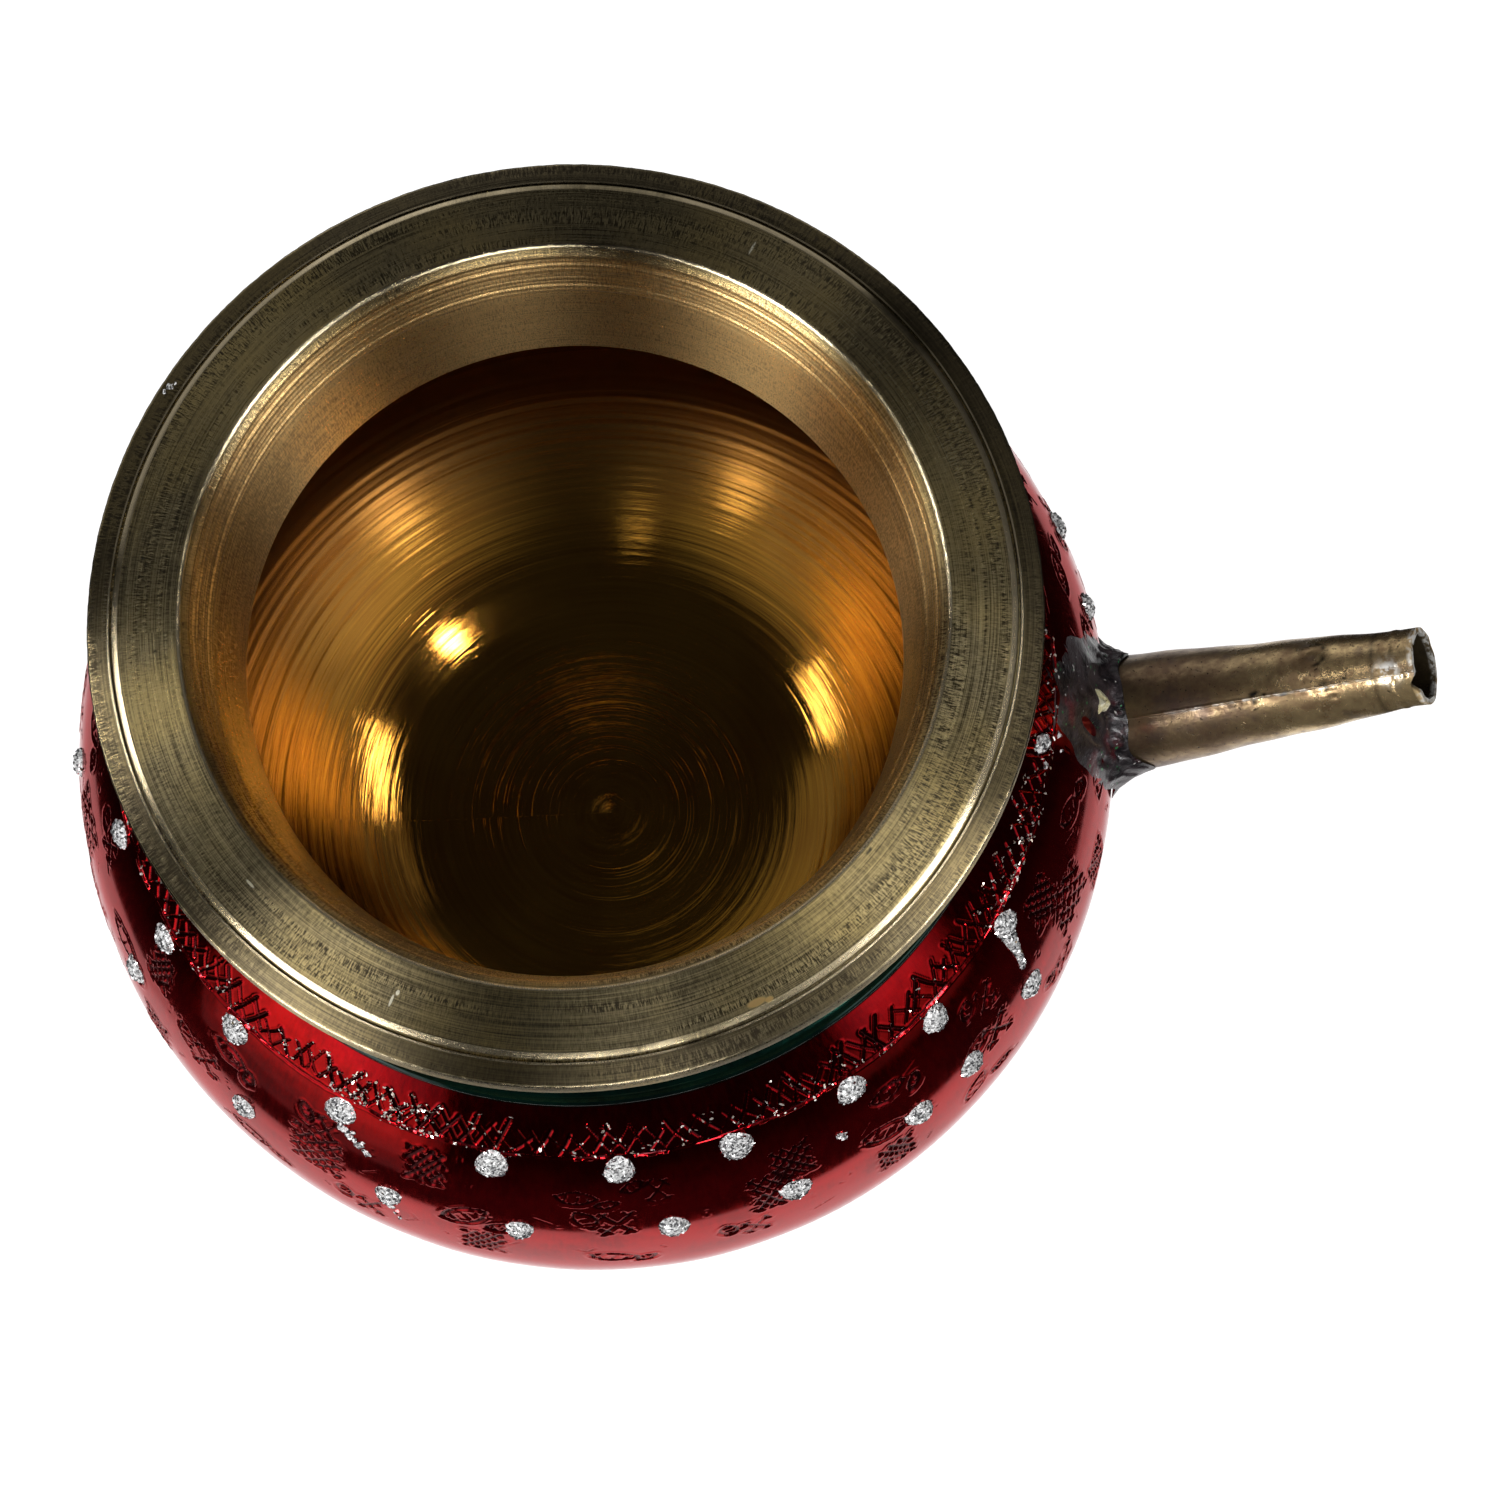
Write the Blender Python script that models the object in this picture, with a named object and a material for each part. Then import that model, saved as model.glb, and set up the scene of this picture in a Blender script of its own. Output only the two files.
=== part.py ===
"""Spouted water pot: turned brass mouth, two-part belly, foot, rolled spout and dots of glitter paint.

Metres, +Z up. The origin is the centre of the foot's underside and the spout points along +X.
"""
import math

import bmesh
import bpy
from mathutils import Matrix, Vector

MM = 0.001

# Fit between pieces that touch on the real pot
GAP = 0.3 * MM

# Belly, outside
BELLY_R = 42.4 * MM          # radius of the widest ring
BELLY_RISE = 22.3 * MM       # widest ring above the belly's flat underside
SHOULDER_RISE = 41.9 * MM    # height of the shoulder's oval above the widest ring
BASE_R = 20.0 * MM           # flat underside
HAUNCH_DOWN = 16.0 * MM      # how far the lower curve runs straight down from the widest ring
HAUNCH_OUT = 13.1 * MM       # how far it runs flat out from the underside
WALL = 2.0 * MM
SEAM_DROP = 7.7 * MM         # seam of the two halves below the widest ring
SEAM_LAP = 4.0 * MM          # height over which the halves lap
DISH_POWER = 1.7             # roundness of the dished floor inside: 2 is an oval, less is more pointed

# Mouth ring: neck and turned rim
NECK_BORE_R = 25.4 * MM      # sharp lower edge of the neck
NECK_WALL = 1.1 * MM         # spigot that drops into the shoulder
MOUTH_DEPTH = 13.8 * MM      # rim's top down to the spigot's lower edge
MOUTH_R = 28.9 * MM          # inner edge of the rim's flat top
MOUTH_CHAMFER = 0.6 * MM
FLARE_R = 26.9 * MM          # bore where the flare of the mouth ends
FLARE_DEPTH = 5.0 * MM
RIM_FLAT_R = 33.3 * MM       # outer edge of the flat top
RIM_STEP_R = 34.3 * MM       # bevel ends here at the turned groove
RIM_BEVEL = 0.6 * MM
RIM_STEP = 0.5 * MM          # ledge below the bevel
RIM_R = 36.0 * MM
RIM_FALL = 0.45 * MM         # slope of the ledge
RIM_EDGE = 2.0 * MM          # height of the rim's edge
RIM_UNDERCUT = 0.8 * MM      # rounding under the edge
WAIST_R = 29.4 * MM          # narrowest place of the neck outside
WAIST_DEPTH = 8.7 * MM       # below the rim's top
SKIRT_R = 34.2 * MM          # foot of the neck on the shoulder
SKIRT_EDGE = 1.1 * MM

# Foot
FOOT_R = 19.5 * MM
FOOT_H = 2.8 * MM
FOOT_CHAMFER = 0.5 * MM

# Spout: sheet brass rolled to a taper, lapped along its top
SPOUT_RISE = 3.6 * MM        # its axis at the belly's skin, above the widest ring
SPOUT_TILT = math.radians(24.0)
SPOUT_LENGTH = 27.0 * MM     # skin to tip
SPOUT_SUNK = 4.6 * MM        # skin to the root inside the belly
SPOUT_R = 4.9 * MM           # outer radius at the skin
SPOUT_TIP_R = 3.0 * MM
SPOUT_SHEET = 0.6 * MM
SPOUT_LAP = 0.25 * MM        # step of the lapped seam
SEAM_TURN = math.radians(22.0)   # seam from the spout's top towards -Y

# Collar of solder round the spout's root
COLLAR_R = 6.9 * MM          # on the belly's skin
COLLAR_LENGTH = 4.4 * MM     # along the spout
COLLAR_EDGE = 0.7 * MM       # thickness of its outer end

# Dots of glitter paint, in degrees round the pot from the spout
DOT_H = 0.55 * MM
UPPER_DOT_R = 1.15 * MM
UPPER_DOT_RISE = 18.3 * MM   # above the widest ring
UPPER_DOTS = (-166, -152, -138, -122, -103, -88, -74, -59, -46, -32)
LOWER_DOT_R = 1.05 * MM
LOWER_DOT_RISE = 9.1 * MM
LOWER_DOTS = (-179, -154, -134, -115, -100, -83, -69, -53, -45, -34, 11, 21)
FAR_DOTS = tuple(range(37, 172, 15))   # the far side goes on evenly

# Facets
TURNS = 60
SPOUT_TURNS = 32
DOT_TURNS = 10
CURVE_STEPS = 9

BELLY_FLOOR_Z = FOOT_H + GAP
BELLY_Z = BELLY_FLOOR_Z + BELLY_RISE


# Outline of the belly: an oval shoulder over a lower curve, as (radius, height) with an offset outwards

def shoulder(turn, off):
    """Point of the upper oval at an angle above the widest ring."""
    radius = BELLY_R * math.cos(turn)
    height = BELLY_Z + SHOULDER_RISE * math.sin(turn)
    out = Vector((math.cos(turn) / BELLY_R, math.sin(turn) / SHOULDER_RISE)).normalized()
    return Vector((radius, height)) + out * off


def haunch(t, off):
    """Point of the lower curve, from the widest ring (t = 0) to the flat underside (t = 1)."""
    a = Vector((BELLY_R, BELLY_Z))
    b = Vector((BELLY_R, BELLY_Z - HAUNCH_DOWN))
    c = Vector((BASE_R + HAUNCH_OUT, BELLY_FLOOR_Z))
    d = Vector((BASE_R, BELLY_FLOOR_Z))
    s = 1.0 - t
    point = a * s ** 3 + b * (3 * s * s * t) + c * (3 * s * t * t) + d * t ** 3
    along = ((b - a) * (s * s) + (c - b) * (2 * s * t) + (d - c) * (t * t)).normalized()
    return point + Vector((-along.y, along.x)) * off


def solve(value, low, high):
    """Where a rising function crosses zero between low and high."""
    for _ in range(60):
        middle = 0.5 * (low + high)
        if value(middle) < 0:
            low = middle
        else:
            high = middle
    return 0.5 * (low + high)


def shoulder_turn_at_radius(radius, off):
    return solve(lambda turn: radius - shoulder(turn, off).x, 0.0, 0.5 * math.pi)


def shoulder_turn_at_height(height):
    return math.asin((height - BELLY_Z) / SHOULDER_RISE)


def haunch_t_at_height(height, off):
    return solve(lambda t: height - haunch(t, off).y, 0.0, 1.0)


def steps(start, end, count):
    return [start + (end - start) * i / count for i in range(count + 1)]


def shoulder_line(top, bottom, off, count=CURVE_STEPS):
    return [shoulder(turn, off) for turn in steps(top, bottom, count)]


def haunch_line(top, bottom, off, count=CURVE_STEPS):
    return [haunch(t, off) for t in steps(top, bottom, count)]


# Blender helpers

def material(name, colour, roughness, metallic):
    made = bpy.data.materials.new(name)
    made.use_nodes = True
    shader = made.node_tree.nodes["Principled BSDF"]
    shader.inputs["Base Color"].default_value = (*colour, 1.0)
    shader.inputs["Roughness"].default_value = roughness
    shader.inputs["Metallic"].default_value = metallic
    made.diffuse_color = (*colour, 1.0)
    return made


def mesh_object(name, bm, finish, smooth_angle=30.0):
    bmesh.ops.recalc_face_normals(bm, faces=bm.faces)
    mesh = bpy.data.meshes.new(name)
    bm.to_mesh(mesh)
    bm.free()
    mesh.shade_smooth()
    mesh.set_sharp_from_angle(angle=math.radians(smooth_angle))
    mesh.materials.append(finish)
    made = bpy.data.objects.new(name, mesh)
    bpy.context.collection.objects.link(made)
    return made


def turned(name, outline, finish, turns=TURNS, closed=True):
    """Spin an outline of (radius, height) points round Z; an open one starts and ends on the axis."""
    bm = bmesh.new()
    points = [bm.verts.new((p[0], 0.0, p[1])) for p in outline]
    edges = [bm.edges.new(pair) for pair in zip(points, points[1:])]
    if closed:
        edges.append(bm.edges.new((points[-1], points[0])))
    bmesh.ops.spin(bm, geom=points + edges, cent=(0, 0, 0), axis=(0, 0, 1), dvec=(0, 0, 0),
                   angle=2 * math.pi, steps=turns, use_merge=True)
    bmesh.ops.remove_doubles(bm, verts=bm.verts, dist=1e-6)
    return mesh_object(name, bm, finish)


def cutter(made):
    made.hide_render = True
    made.display_type = "WIRE"
    return made


def cut(made, tool):
    boolean = made.modifiers.new("cut by " + tool.name, "BOOLEAN")
    boolean.operation = "DIFFERENCE"
    boolean.solver = "EXACT"
    boolean.object = tool


for old in list(bpy.data.objects):
    bpy.data.objects.remove(old, do_unlink=True)

RIM_BRASS = material("turned brass", (0.36, 0.29, 0.14), 0.32, 1.0)
SHOULDER_RED = material("red lacquer", (0.28, 0.005, 0.01), 0.18, 0.3)
HAUNCH_RED = material("red lacquer below", (0.26, 0.005, 0.01), 0.18, 0.3)
FOOT_BRASS = material("foot brass", (0.42, 0.31, 0.13), 0.4, 1.0)
SPOUT_BRASS = material("rolled brass", (0.30, 0.23, 0.11), 0.36, 1.0)
SOLDER = material("lacquered solder", (0.05, 0.02, 0.03), 0.3, 0.2)
GLITTER = material("silver glitter", (0.75, 0.75, 0.75), 0.35, 0.8)

pot = bpy.data.objects.new("pot", None)
bpy.context.collection.objects.link(pot)

# Belly: the shoulder half laps outside the haunch half
hole_turn = shoulder_turn_at_radius(NECK_BORE_R + NECK_WALL + GAP, -WALL)
lap_top = haunch_t_at_height(BELLY_Z - SEAM_DROP + 0.5 * SEAM_LAP, 0.0)
lap_end = haunch_t_at_height(BELLY_Z - SEAM_DROP - 0.5 * SEAM_LAP, 0.0)
lap_top_below = haunch_t_at_height(BELLY_Z - SEAM_DROP + 0.5 * SEAM_LAP - GAP, 0.0)
lap_end_below = haunch_t_at_height(BELLY_Z - SEAM_DROP - 0.5 * SEAM_LAP - GAP, 0.0)
OUTER_LIP = -0.5 * (WALL - GAP)
INNER_LIP = -0.5 * (WALL + GAP)

upper_outline = (shoulder_line(hole_turn, 0.0, 0.0) + haunch_line(0.0, lap_end, 0.0, 4)[1:]
                 + haunch_line(lap_end, lap_top, OUTER_LIP, 2) + haunch_line(lap_top, 0.0, -WALL, 2)
                 + shoulder_line(0.0, hole_turn, -WALL)[1:])
upper_bowl = turned("upper_bowl", upper_outline, SHOULDER_RED)

dish_edge = haunch(lap_top_below, -WALL)
dish_z = BELLY_FLOOR_Z + WALL


def dish(turn):
    """Point of the dished floor inside, from its middle (turn = 0) to the lower half's inner edge."""
    out = math.sin(turn) ** (2.0 / DISH_POWER)
    down = math.cos(turn) ** (2.0 / DISH_POWER)
    return Vector((dish_edge.x * out, dish_edge.y + (dish_z - dish_edge.y) * down))


lower_outline = ([dish(turn) for turn in steps(0.0, 0.5 * math.pi, CURVE_STEPS)]
                 + haunch_line(lap_top_below, lap_end_below, INNER_LIP, 2)
                 + haunch_line(lap_end_below, 1.0, 0.0) + [Vector((0.0, BELLY_FLOOR_Z))])
lower_bowl = turned("lower_bowl", lower_outline, HAUNCH_RED, closed=False)

# Foot: a plain disc soldered under the belly
foot_outline = [(0.0, FOOT_H), (FOOT_R - FOOT_CHAMFER, FOOT_H), (FOOT_R, FOOT_H - FOOT_CHAMFER),
                (FOOT_R, FOOT_CHAMFER), (FOOT_R - FOOT_CHAMFER, 0.0), (0.0, 0.0)]
foot = turned("foot", foot_outline, FOOT_BRASS, closed=False)

# Mouth ring: its spigot ends flush with the shoulder's inside, its skirt rests on the outside
spigot_r = NECK_BORE_R + NECK_WALL
spigot_z = shoulder(hole_turn, -WALL).y
hole_edge = shoulder(hole_turn, GAP)
rim_z = spigot_z + MOUTH_DEPTH
bevel_z = rim_z - RIM_BEVEL
ledge_z = bevel_z - RIM_STEP
edge_z = ledge_z - RIM_FALL - RIM_EDGE
waist_z = rim_z - WAIST_DEPTH
skirt_turn = shoulder_turn_at_radius(SKIRT_R, GAP)
skirt_z = shoulder(skirt_turn, GAP).y + SKIRT_EDGE
under_z = edge_z - RIM_UNDERCUT
under_r = RIM_R - RIM_UNDERCUT

rim_top = [(MOUTH_R, rim_z), (RIM_FLAT_R, rim_z), (RIM_STEP_R, bevel_z), (RIM_STEP_R, ledge_z),
           (RIM_R, ledge_z - RIM_FALL), (RIM_R, edge_z)]
quarter = steps(0.0, 0.5 * math.pi, 6)
neck_hollow = [(under_r - (under_r - WAIST_R) * math.sin(a), waist_z + (under_z - waist_z) * math.cos(a))
               for a in quarter]
neck_foot = [(SKIRT_R - (SKIRT_R - WAIST_R) * math.cos(a), waist_z - (waist_z - skirt_z) * math.sin(a))
             for a in quarter[1:]]
skirt_under = [tuple(p) for p in shoulder_line(skirt_turn, hole_turn, GAP, 4)]
spigot = [(spigot_r, hole_edge.y), (spigot_r, spigot_z), (NECK_BORE_R, spigot_z)]
bore = [(FLARE_R, rim_z - FLARE_DEPTH), (MOUTH_R - MOUTH_CHAMFER, rim_z - MOUTH_CHAMFER)]
mouth_ring = turned("mouth_ring", rim_top + neck_hollow + neck_foot + skirt_under + spigot + bore, RIM_BRASS)


# Spout and collar, turned about the spout's own axis and set on the belly's skin

spout_z = BELLY_Z + SPOUT_RISE
spout_x = shoulder(shoulder_turn_at_height(spout_z), 0.0).x
spout_place = (Matrix.Translation((spout_x, 0.0, spout_z))
               @ Matrix.Rotation(0.5 * math.pi - SPOUT_TILT, 4, "Y"))


def tube_r(along):
    """Outer radius of the rolled tube, without its lap, at a distance from the skin."""
    return SPOUT_R + (SPOUT_TIP_R - SPOUT_R) * along / SPOUT_LENGTH


def rolled_tube(name, finish):
    """A taper whose outside creeps out by the lap's step in one turn, with a round bore."""
    bm = bmesh.new()
    rings = []
    for along in (-SPOUT_SUNK, SPOUT_LENGTH):
        outer = []
        inner = []
        for i in range(SPOUT_TURNS + 1):
            turn = math.pi - SEAM_TURN + 2 * math.pi * i / SPOUT_TURNS
            way = Vector((math.cos(turn), -math.sin(turn), 0.0))
            up = Vector((0.0, 0.0, along))
            outer.append(bm.verts.new(way * (tube_r(along) + SPOUT_LAP * i / SPOUT_TURNS) + up))
            if i < SPOUT_TURNS:
                inner.append(bm.verts.new(way * (tube_r(along) - SPOUT_SHEET) + up))
        rings.append((outer, inner + inner[:1]))
    (root_out, root_in), (tip_out, tip_in) = rings
    for i in range(SPOUT_TURNS):
        bm.faces.new((root_out[i], root_out[i + 1], tip_out[i + 1], tip_out[i]))
        bm.faces.new((root_in[i + 1], root_in[i], tip_in[i], tip_in[i + 1]))
        bm.faces.new((root_out[i + 1], root_out[i], root_in[i], root_in[i + 1]))
        bm.faces.new((tip_out[i], tip_out[i + 1], tip_in[i + 1], tip_in[i]))
    bm.faces.new((root_out[0], tip_out[0], tip_out[-1], root_out[-1]))
    bm.faces.new((root_out[0], root_out[-1], root_in[0]))
    bm.faces.new((tip_out[-1], tip_out[0], tip_in[0]))
    return mesh_object(name, bm, finish)


spout_tube = rolled_tube("spout_tube", SPOUT_BRASS)


def hole_r(along):
    return tube_r(along) + SPOUT_LAP + GAP


hole_depth = 2 * SPOUT_SUNK
hole_reach = COLLAR_LENGTH + SPOUT_SUNK
hole_outline = [(0.0, hole_reach), (hole_r(hole_reach), hole_reach), (hole_r(-hole_depth), -hole_depth),
                (0.0, -hole_depth)]
spout_hole = cutter(turned("spout_hole", hole_outline, SOLDER, SPOUT_TURNS, closed=False))
cut(upper_bowl, spout_hole)

# The collar's back is the belly's skin with the gap added
skin_outline = ([Vector((0.0, shoulder(hole_turn, GAP).y))] + shoulder_line(hole_turn, 0.0, GAP, 16)
                + haunch_line(0.0, 1.0, GAP, 12)[1:] + [Vector((0.0, BELLY_FLOOR_Z - GAP))])
skin_block = cutter(turned("skin_block", skin_outline, SOLDER, 2 * TURNS, closed=False))
collar_end_r = hole_r(COLLAR_LENGTH) + COLLAR_EDGE
collar_curve = [(COLLAR_R - (COLLAR_R - collar_end_r) * math.sin(a),
                 COLLAR_LENGTH * (1.0 - math.cos(a)))
                for a in steps(0.0, 0.5 * math.pi, 5)]
collar_outline = ([(hole_r(COLLAR_LENGTH), COLLAR_LENGTH)] + collar_curve[::-1]
                  + [(COLLAR_R, -SPOUT_SUNK), (hole_r(-SPOUT_SUNK), -SPOUT_SUNK)])
spout_collar = turned("spout_collar", collar_outline, SOLDER, SPOUT_TURNS)
cut(spout_collar, skin_block)
for piece in (spout_tube, spout_hole, spout_collar):
    piece.matrix_world = spout_place


# Dots: low domes, one row on the upper shoulder and one nearer the widest ring

def dome(name, radius):
    outline = [(0.0, DOT_H), (0.55 * radius, 0.8 * DOT_H), (radius, 0.3 * DOT_H), (radius, 0.0), (0.0, 0.0)]
    return turned(name, outline, GLITTER, DOT_TURNS, closed=False)


def dot_row(row, azimuths, rise, radius):
    turn = shoulder_turn_at_height(BELLY_Z + rise)
    seat = shoulder(turn, GAP)
    out = (shoulder(turn, GAP) - shoulder(turn, 0.0)).normalized()
    lean = math.atan2(out.x, out.y)
    first = dome(f"dot_{row}_01", radius)
    for number, azimuth in enumerate(azimuths, 1):
        dot = first
        if number > 1:
            dot = bpy.data.objects.new(f"dot_{row}_{number:02d}", first.data)
            bpy.context.collection.objects.link(dot)
        dot.matrix_world = (Matrix.Rotation(math.radians(azimuth), 4, "Z")
                            @ Matrix.Translation((seat.x, 0.0, seat.y)) @ Matrix.Rotation(lean, 4, "Y"))


dot_row("upper", UPPER_DOTS + FAR_DOTS, UPPER_DOT_RISE, UPPER_DOT_R)
dot_row("lower", LOWER_DOTS + FAR_DOTS, LOWER_DOT_RISE, LOWER_DOT_R)

bpy.context.view_layer.update()
for made in list(bpy.data.objects):
    if made.type == "MESH":
        made.parent = pot
print("rim top", round(rim_z / MM, 2), "mm; widest ring", round(BELLY_Z / MM, 2), "mm")
print("spout tip", [round(c / MM, 2) for c in spout_place @ Vector((0.0, 0.0, SPOUT_LENGTH))])
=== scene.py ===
# %% [markdown]
# # A small lacquered water pot
# The CAD frame holds the pot's solids. This lesson dresses them: turned brass with lathe lines, a clear red
# lacquer over engraved metal, a spout rolled from sheet, lumpy solder and dots of glitter paint. Everything
# is in metres, +Z is up, and the spout points along +X.

# %% Load the frame
import math

import bmesh
import bpy
import numpy as np
from mathutils import Matrix, Vector


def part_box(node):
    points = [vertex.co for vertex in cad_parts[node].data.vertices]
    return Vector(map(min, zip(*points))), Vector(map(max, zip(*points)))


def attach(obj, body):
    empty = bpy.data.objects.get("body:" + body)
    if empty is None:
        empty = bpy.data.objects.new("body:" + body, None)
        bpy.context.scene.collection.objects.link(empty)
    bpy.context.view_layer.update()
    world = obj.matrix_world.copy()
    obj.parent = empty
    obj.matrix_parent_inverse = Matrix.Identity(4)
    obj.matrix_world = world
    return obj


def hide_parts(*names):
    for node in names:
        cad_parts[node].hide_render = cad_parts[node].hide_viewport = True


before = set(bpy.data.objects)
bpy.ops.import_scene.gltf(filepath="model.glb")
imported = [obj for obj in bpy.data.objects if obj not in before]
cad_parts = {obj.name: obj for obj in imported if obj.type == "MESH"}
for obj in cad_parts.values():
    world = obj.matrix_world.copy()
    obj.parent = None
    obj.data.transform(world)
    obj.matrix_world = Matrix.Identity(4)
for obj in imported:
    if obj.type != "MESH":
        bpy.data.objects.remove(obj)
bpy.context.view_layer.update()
scene = bpy.context.scene
scene.view_settings.view_transform = "Standard"
MM = 0.001
TO_MM = 1000.0


def add_object(name, data):
    made = bpy.data.objects.new(name, data)
    scene.collection.objects.link(made)
    return made


print("nodes in the frame:", len(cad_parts))

# %% [markdown]
# ## Camera
# The rim, neck and belly of the photograph are circles seen as ellipses, and together they fix one camera:
# almost overhead, a little in front of the pot, slightly rolled. The image is 1500 pixels square.

# %% Camera
RIM_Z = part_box("mouth_ring")[1].z
VIEW_TURN = math.radians(10.6)       # the spout points this far towards the camera
CAMERA_BACK = 114.5 * MM             # from the pot's axis
CAMERA_ABOVE_RIM = 394.7 * MM
CAMERA_PITCH = math.radians(75.6)
CAMERA_PAN = math.radians(-6.3)
CAMERA_ROLL = math.radians(7.12)
CAMERA_LENS = 131.8                  # mm
SENSOR = 36.0                        # mm wide


def photo_camera():
    """A camera that stands before the pot, looks down by its pitch and is rolled about its view."""
    data = bpy.data.cameras.new("photo_camera")
    data.sensor_width = SENSOR
    data.lens = CAMERA_LENS
    camera = add_object("photo_camera", data)
    place = Matrix.Translation((0, -CAMERA_BACK, RIM_Z + CAMERA_ABOVE_RIM))
    camera.matrix_world = (Matrix.Rotation(VIEW_TURN, 4, "Z") @ place @ Matrix.Rotation(CAMERA_PAN, 4, "Z")
                           @ Matrix.Rotation(0.5 * math.pi - CAMERA_PITCH, 4, "X")
                           @ Matrix.Rotation(-CAMERA_ROLL, 4, "Z"))
    return camera


scene.camera = photo_camera()
print("camera at", [round(c, 3) for c in scene.camera.location])

# %% [markdown]
# ## Writing shaders as arithmetic
# A `Wire` is one output socket. Adding or multiplying wires adds Math nodes to the same tree, and `node`
# adds any other node, so a surface can be written as a formula of the place on the pot.


# %% Wires
def add_node(tree, kind, feeds=(), **settings):
    """A new node. Each input that `feeds` names gets a value, or a link if it is a wire or a socket."""
    made = tree.nodes.new(kind)
    for key, value in settings.items():
        setattr(made, key, value)
    for key, value in dict(feeds).items():
        source = getattr(value, "socket", value)
        if isinstance(source, bpy.types.NodeSocket):
            tree.links.new(source, made.inputs[key])
        else:
            made.inputs[key].default_value = value
    return made


class Wire:
    def __init__(self, tree, socket):
        self.tree = tree
        self.socket = socket

    def node(self, kind, feeds, out=0, **settings):
        return Wire(self.tree, add_node(self.tree, kind, feeds, **settings).outputs[out])

    def maths(self, operation, other=0.0):
        return self.node("ShaderNodeMath", {0: self, 1: other}, operation=operation)

    def ramp(self, low, high, start=0.0, end=1.0):
        return self.node("ShaderNodeMapRange", {"Value": self, "From Min": low, "From Max": high,
                                                "To Min": start, "To Max": end},
                         interpolation_type="SMOOTHSTEP")

    def blend(self, first, second):
        feeds = {0: self, 6: first, 7: second}
        return self.node("ShaderNodeMix", feeds, out=2, data_type="RGBA")

    def noise(self, scale, detail=3.0, rough=0.55):
        return self.node("ShaderNodeTexNoise", {"Vector": self, "Scale": scale, "Detail": detail,
                                                "Roughness": rough})

    def split(self):
        """The x, y and z of a place or direction."""
        made = add_node(self.tree, "ShaderNodeSeparateXYZ", {0: self})
        return [Wire(self.tree, socket) for socket in made.outputs]

    def bump(self, strength, distance):
        return self.node("ShaderNodeBump", {"Height": self, "Strength": strength, "Distance": distance})


def sign_method(operation, number_first):
    """A method for one sign, such as +, with the wire or a number on its left."""
    if number_first:
        return lambda wire, number: wire.node("ShaderNodeMath", {0: number, 1: wire}, operation=operation)
    return lambda wire, other: wire.maths(operation, other)


SIGNS = {"add": "ADD", "sub": "SUBTRACT", "mul": "MULTIPLY", "truediv": "DIVIDE", "pow": "POWER"}
for sign, operation in SIGNS.items():
    setattr(Wire, f"__{sign}__", sign_method(operation, False))
    setattr(Wire, f"__r{sign}__", sign_method(operation, True))
print("signs for wires:", list(SIGNS))

# %% [markdown]
# ## A surface
# Every finish on the pot is one Principled shader whose inputs are fed by wires. A `Surface` makes it once,
# with the places that the formulas need: object coordinates, the distance from the axis, the angle round it
# and the height. Values kept on a mesh come in as attributes.


# %% Surfaces
def rgb(red, green, blue):
    return (red, green, blue, 1.0)


class Surface:
    """A material with its Principled shader and the places on the pot that its formulas use."""

    def __init__(self, name, **fixed):
        self.material = bpy.data.materials.new(name)
        self.material.use_nodes = True
        tree = self.material.node_tree
        self.shader = tree.nodes["Principled BSDF"]
        for key, value in fixed.items():
            self.shader.inputs[key.replace("_", " ")].default_value = value
        self.place = Wire(tree, add_node(tree, "ShaderNodeTexCoord").outputs["Object"])
        self.x, self.y, self.z = self.place.split()
        self.places = None

    def polar(self):
        """Distance from the pot's axis in mm, angle round it in radians, and height in mm."""
        if self.places is None:
            out = (self.x * self.x + self.y * self.y) ** 0.5
            self.places = (out * TO_MM, self.y.maths("ARCTAN2", self.x), self.z * TO_MM)
        return self.places

    def attribute(self, name):
        """A value that the mesh carries at its points."""
        return self.place.node("ShaderNodeAttribute", {}, out=2, attribute_name=name)

    def streaks(self, out, turn, up, detail, rough=0.55):
        """Noise with its own scale for a mm outwards, a radian round the axis and a mm upwards."""
        scaled = [wire * scale for wire, scale in zip(self.polar(), (out, turn, up))]
        way = self.place.node("ShaderNodeCombineXYZ", dict(enumerate(scaled)))
        return way.noise(1.0, detail, rough)

    def feed(self, **wires):
        for key, wire in wires.items():
            self.place.tree.links.new(wire.socket, self.shader.inputs[key.replace("_", " ")])
        return self.material


print("surfaces ready")

# %% [markdown]
# ## Turned brass
# The rim was cut on a lathe and never polished. Lathe work leaves fine lines round the axis, and chatter of
# the tool leaves short marks across them. A picture of brushed metal could show this, but a formula of
# radius and angle has no seam and stays sharp. Noise that changes fast with the radius and slowly with the
# angle draws the lines, and noise that does the reverse draws the chatter. Edges that hands touch are
# paler.


# %% Turned brass of the rim
FRONT_AT = math.radians(-90.0)       # the side of the pot that faces the camera
GOLD_MARK = rgb(0.80, 0.55, 0.22)
PALE_MARK = rgb(0.85, 0.80, 0.62)
# Each mark on the rim: degrees round the axis, distance from it, length, width (mm) and colour.
RIM_MARKS = [(-66.8, 33.2, 0.9, 0.35, GOLD_MARK), (-65.2, 33.4, 0.4, 0.25, GOLD_MARK),
             (-115.4, 32.1, 0.12, 0.55, PALE_MARK), (-115.0, 31.4, 0.16, 0.25, PALE_MARK),
             (61.1, 31.9, 0.10, 0.7, PALE_MARK), (-140.6, 31.0, 0.5, 0.12, PALE_MARK)]
# Each worn edge, in mm from the axis: two distances over which it appears, and two over which it ends.
WORN_EDGES = [(28.72, 28.80, 29.10, 29.02), (33.50, 33.62, 34.02, 33.96), (34.24, 34.27, 34.42, 34.38)]
WORN_OUTSIDE = (35.84, 35.90)


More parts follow.
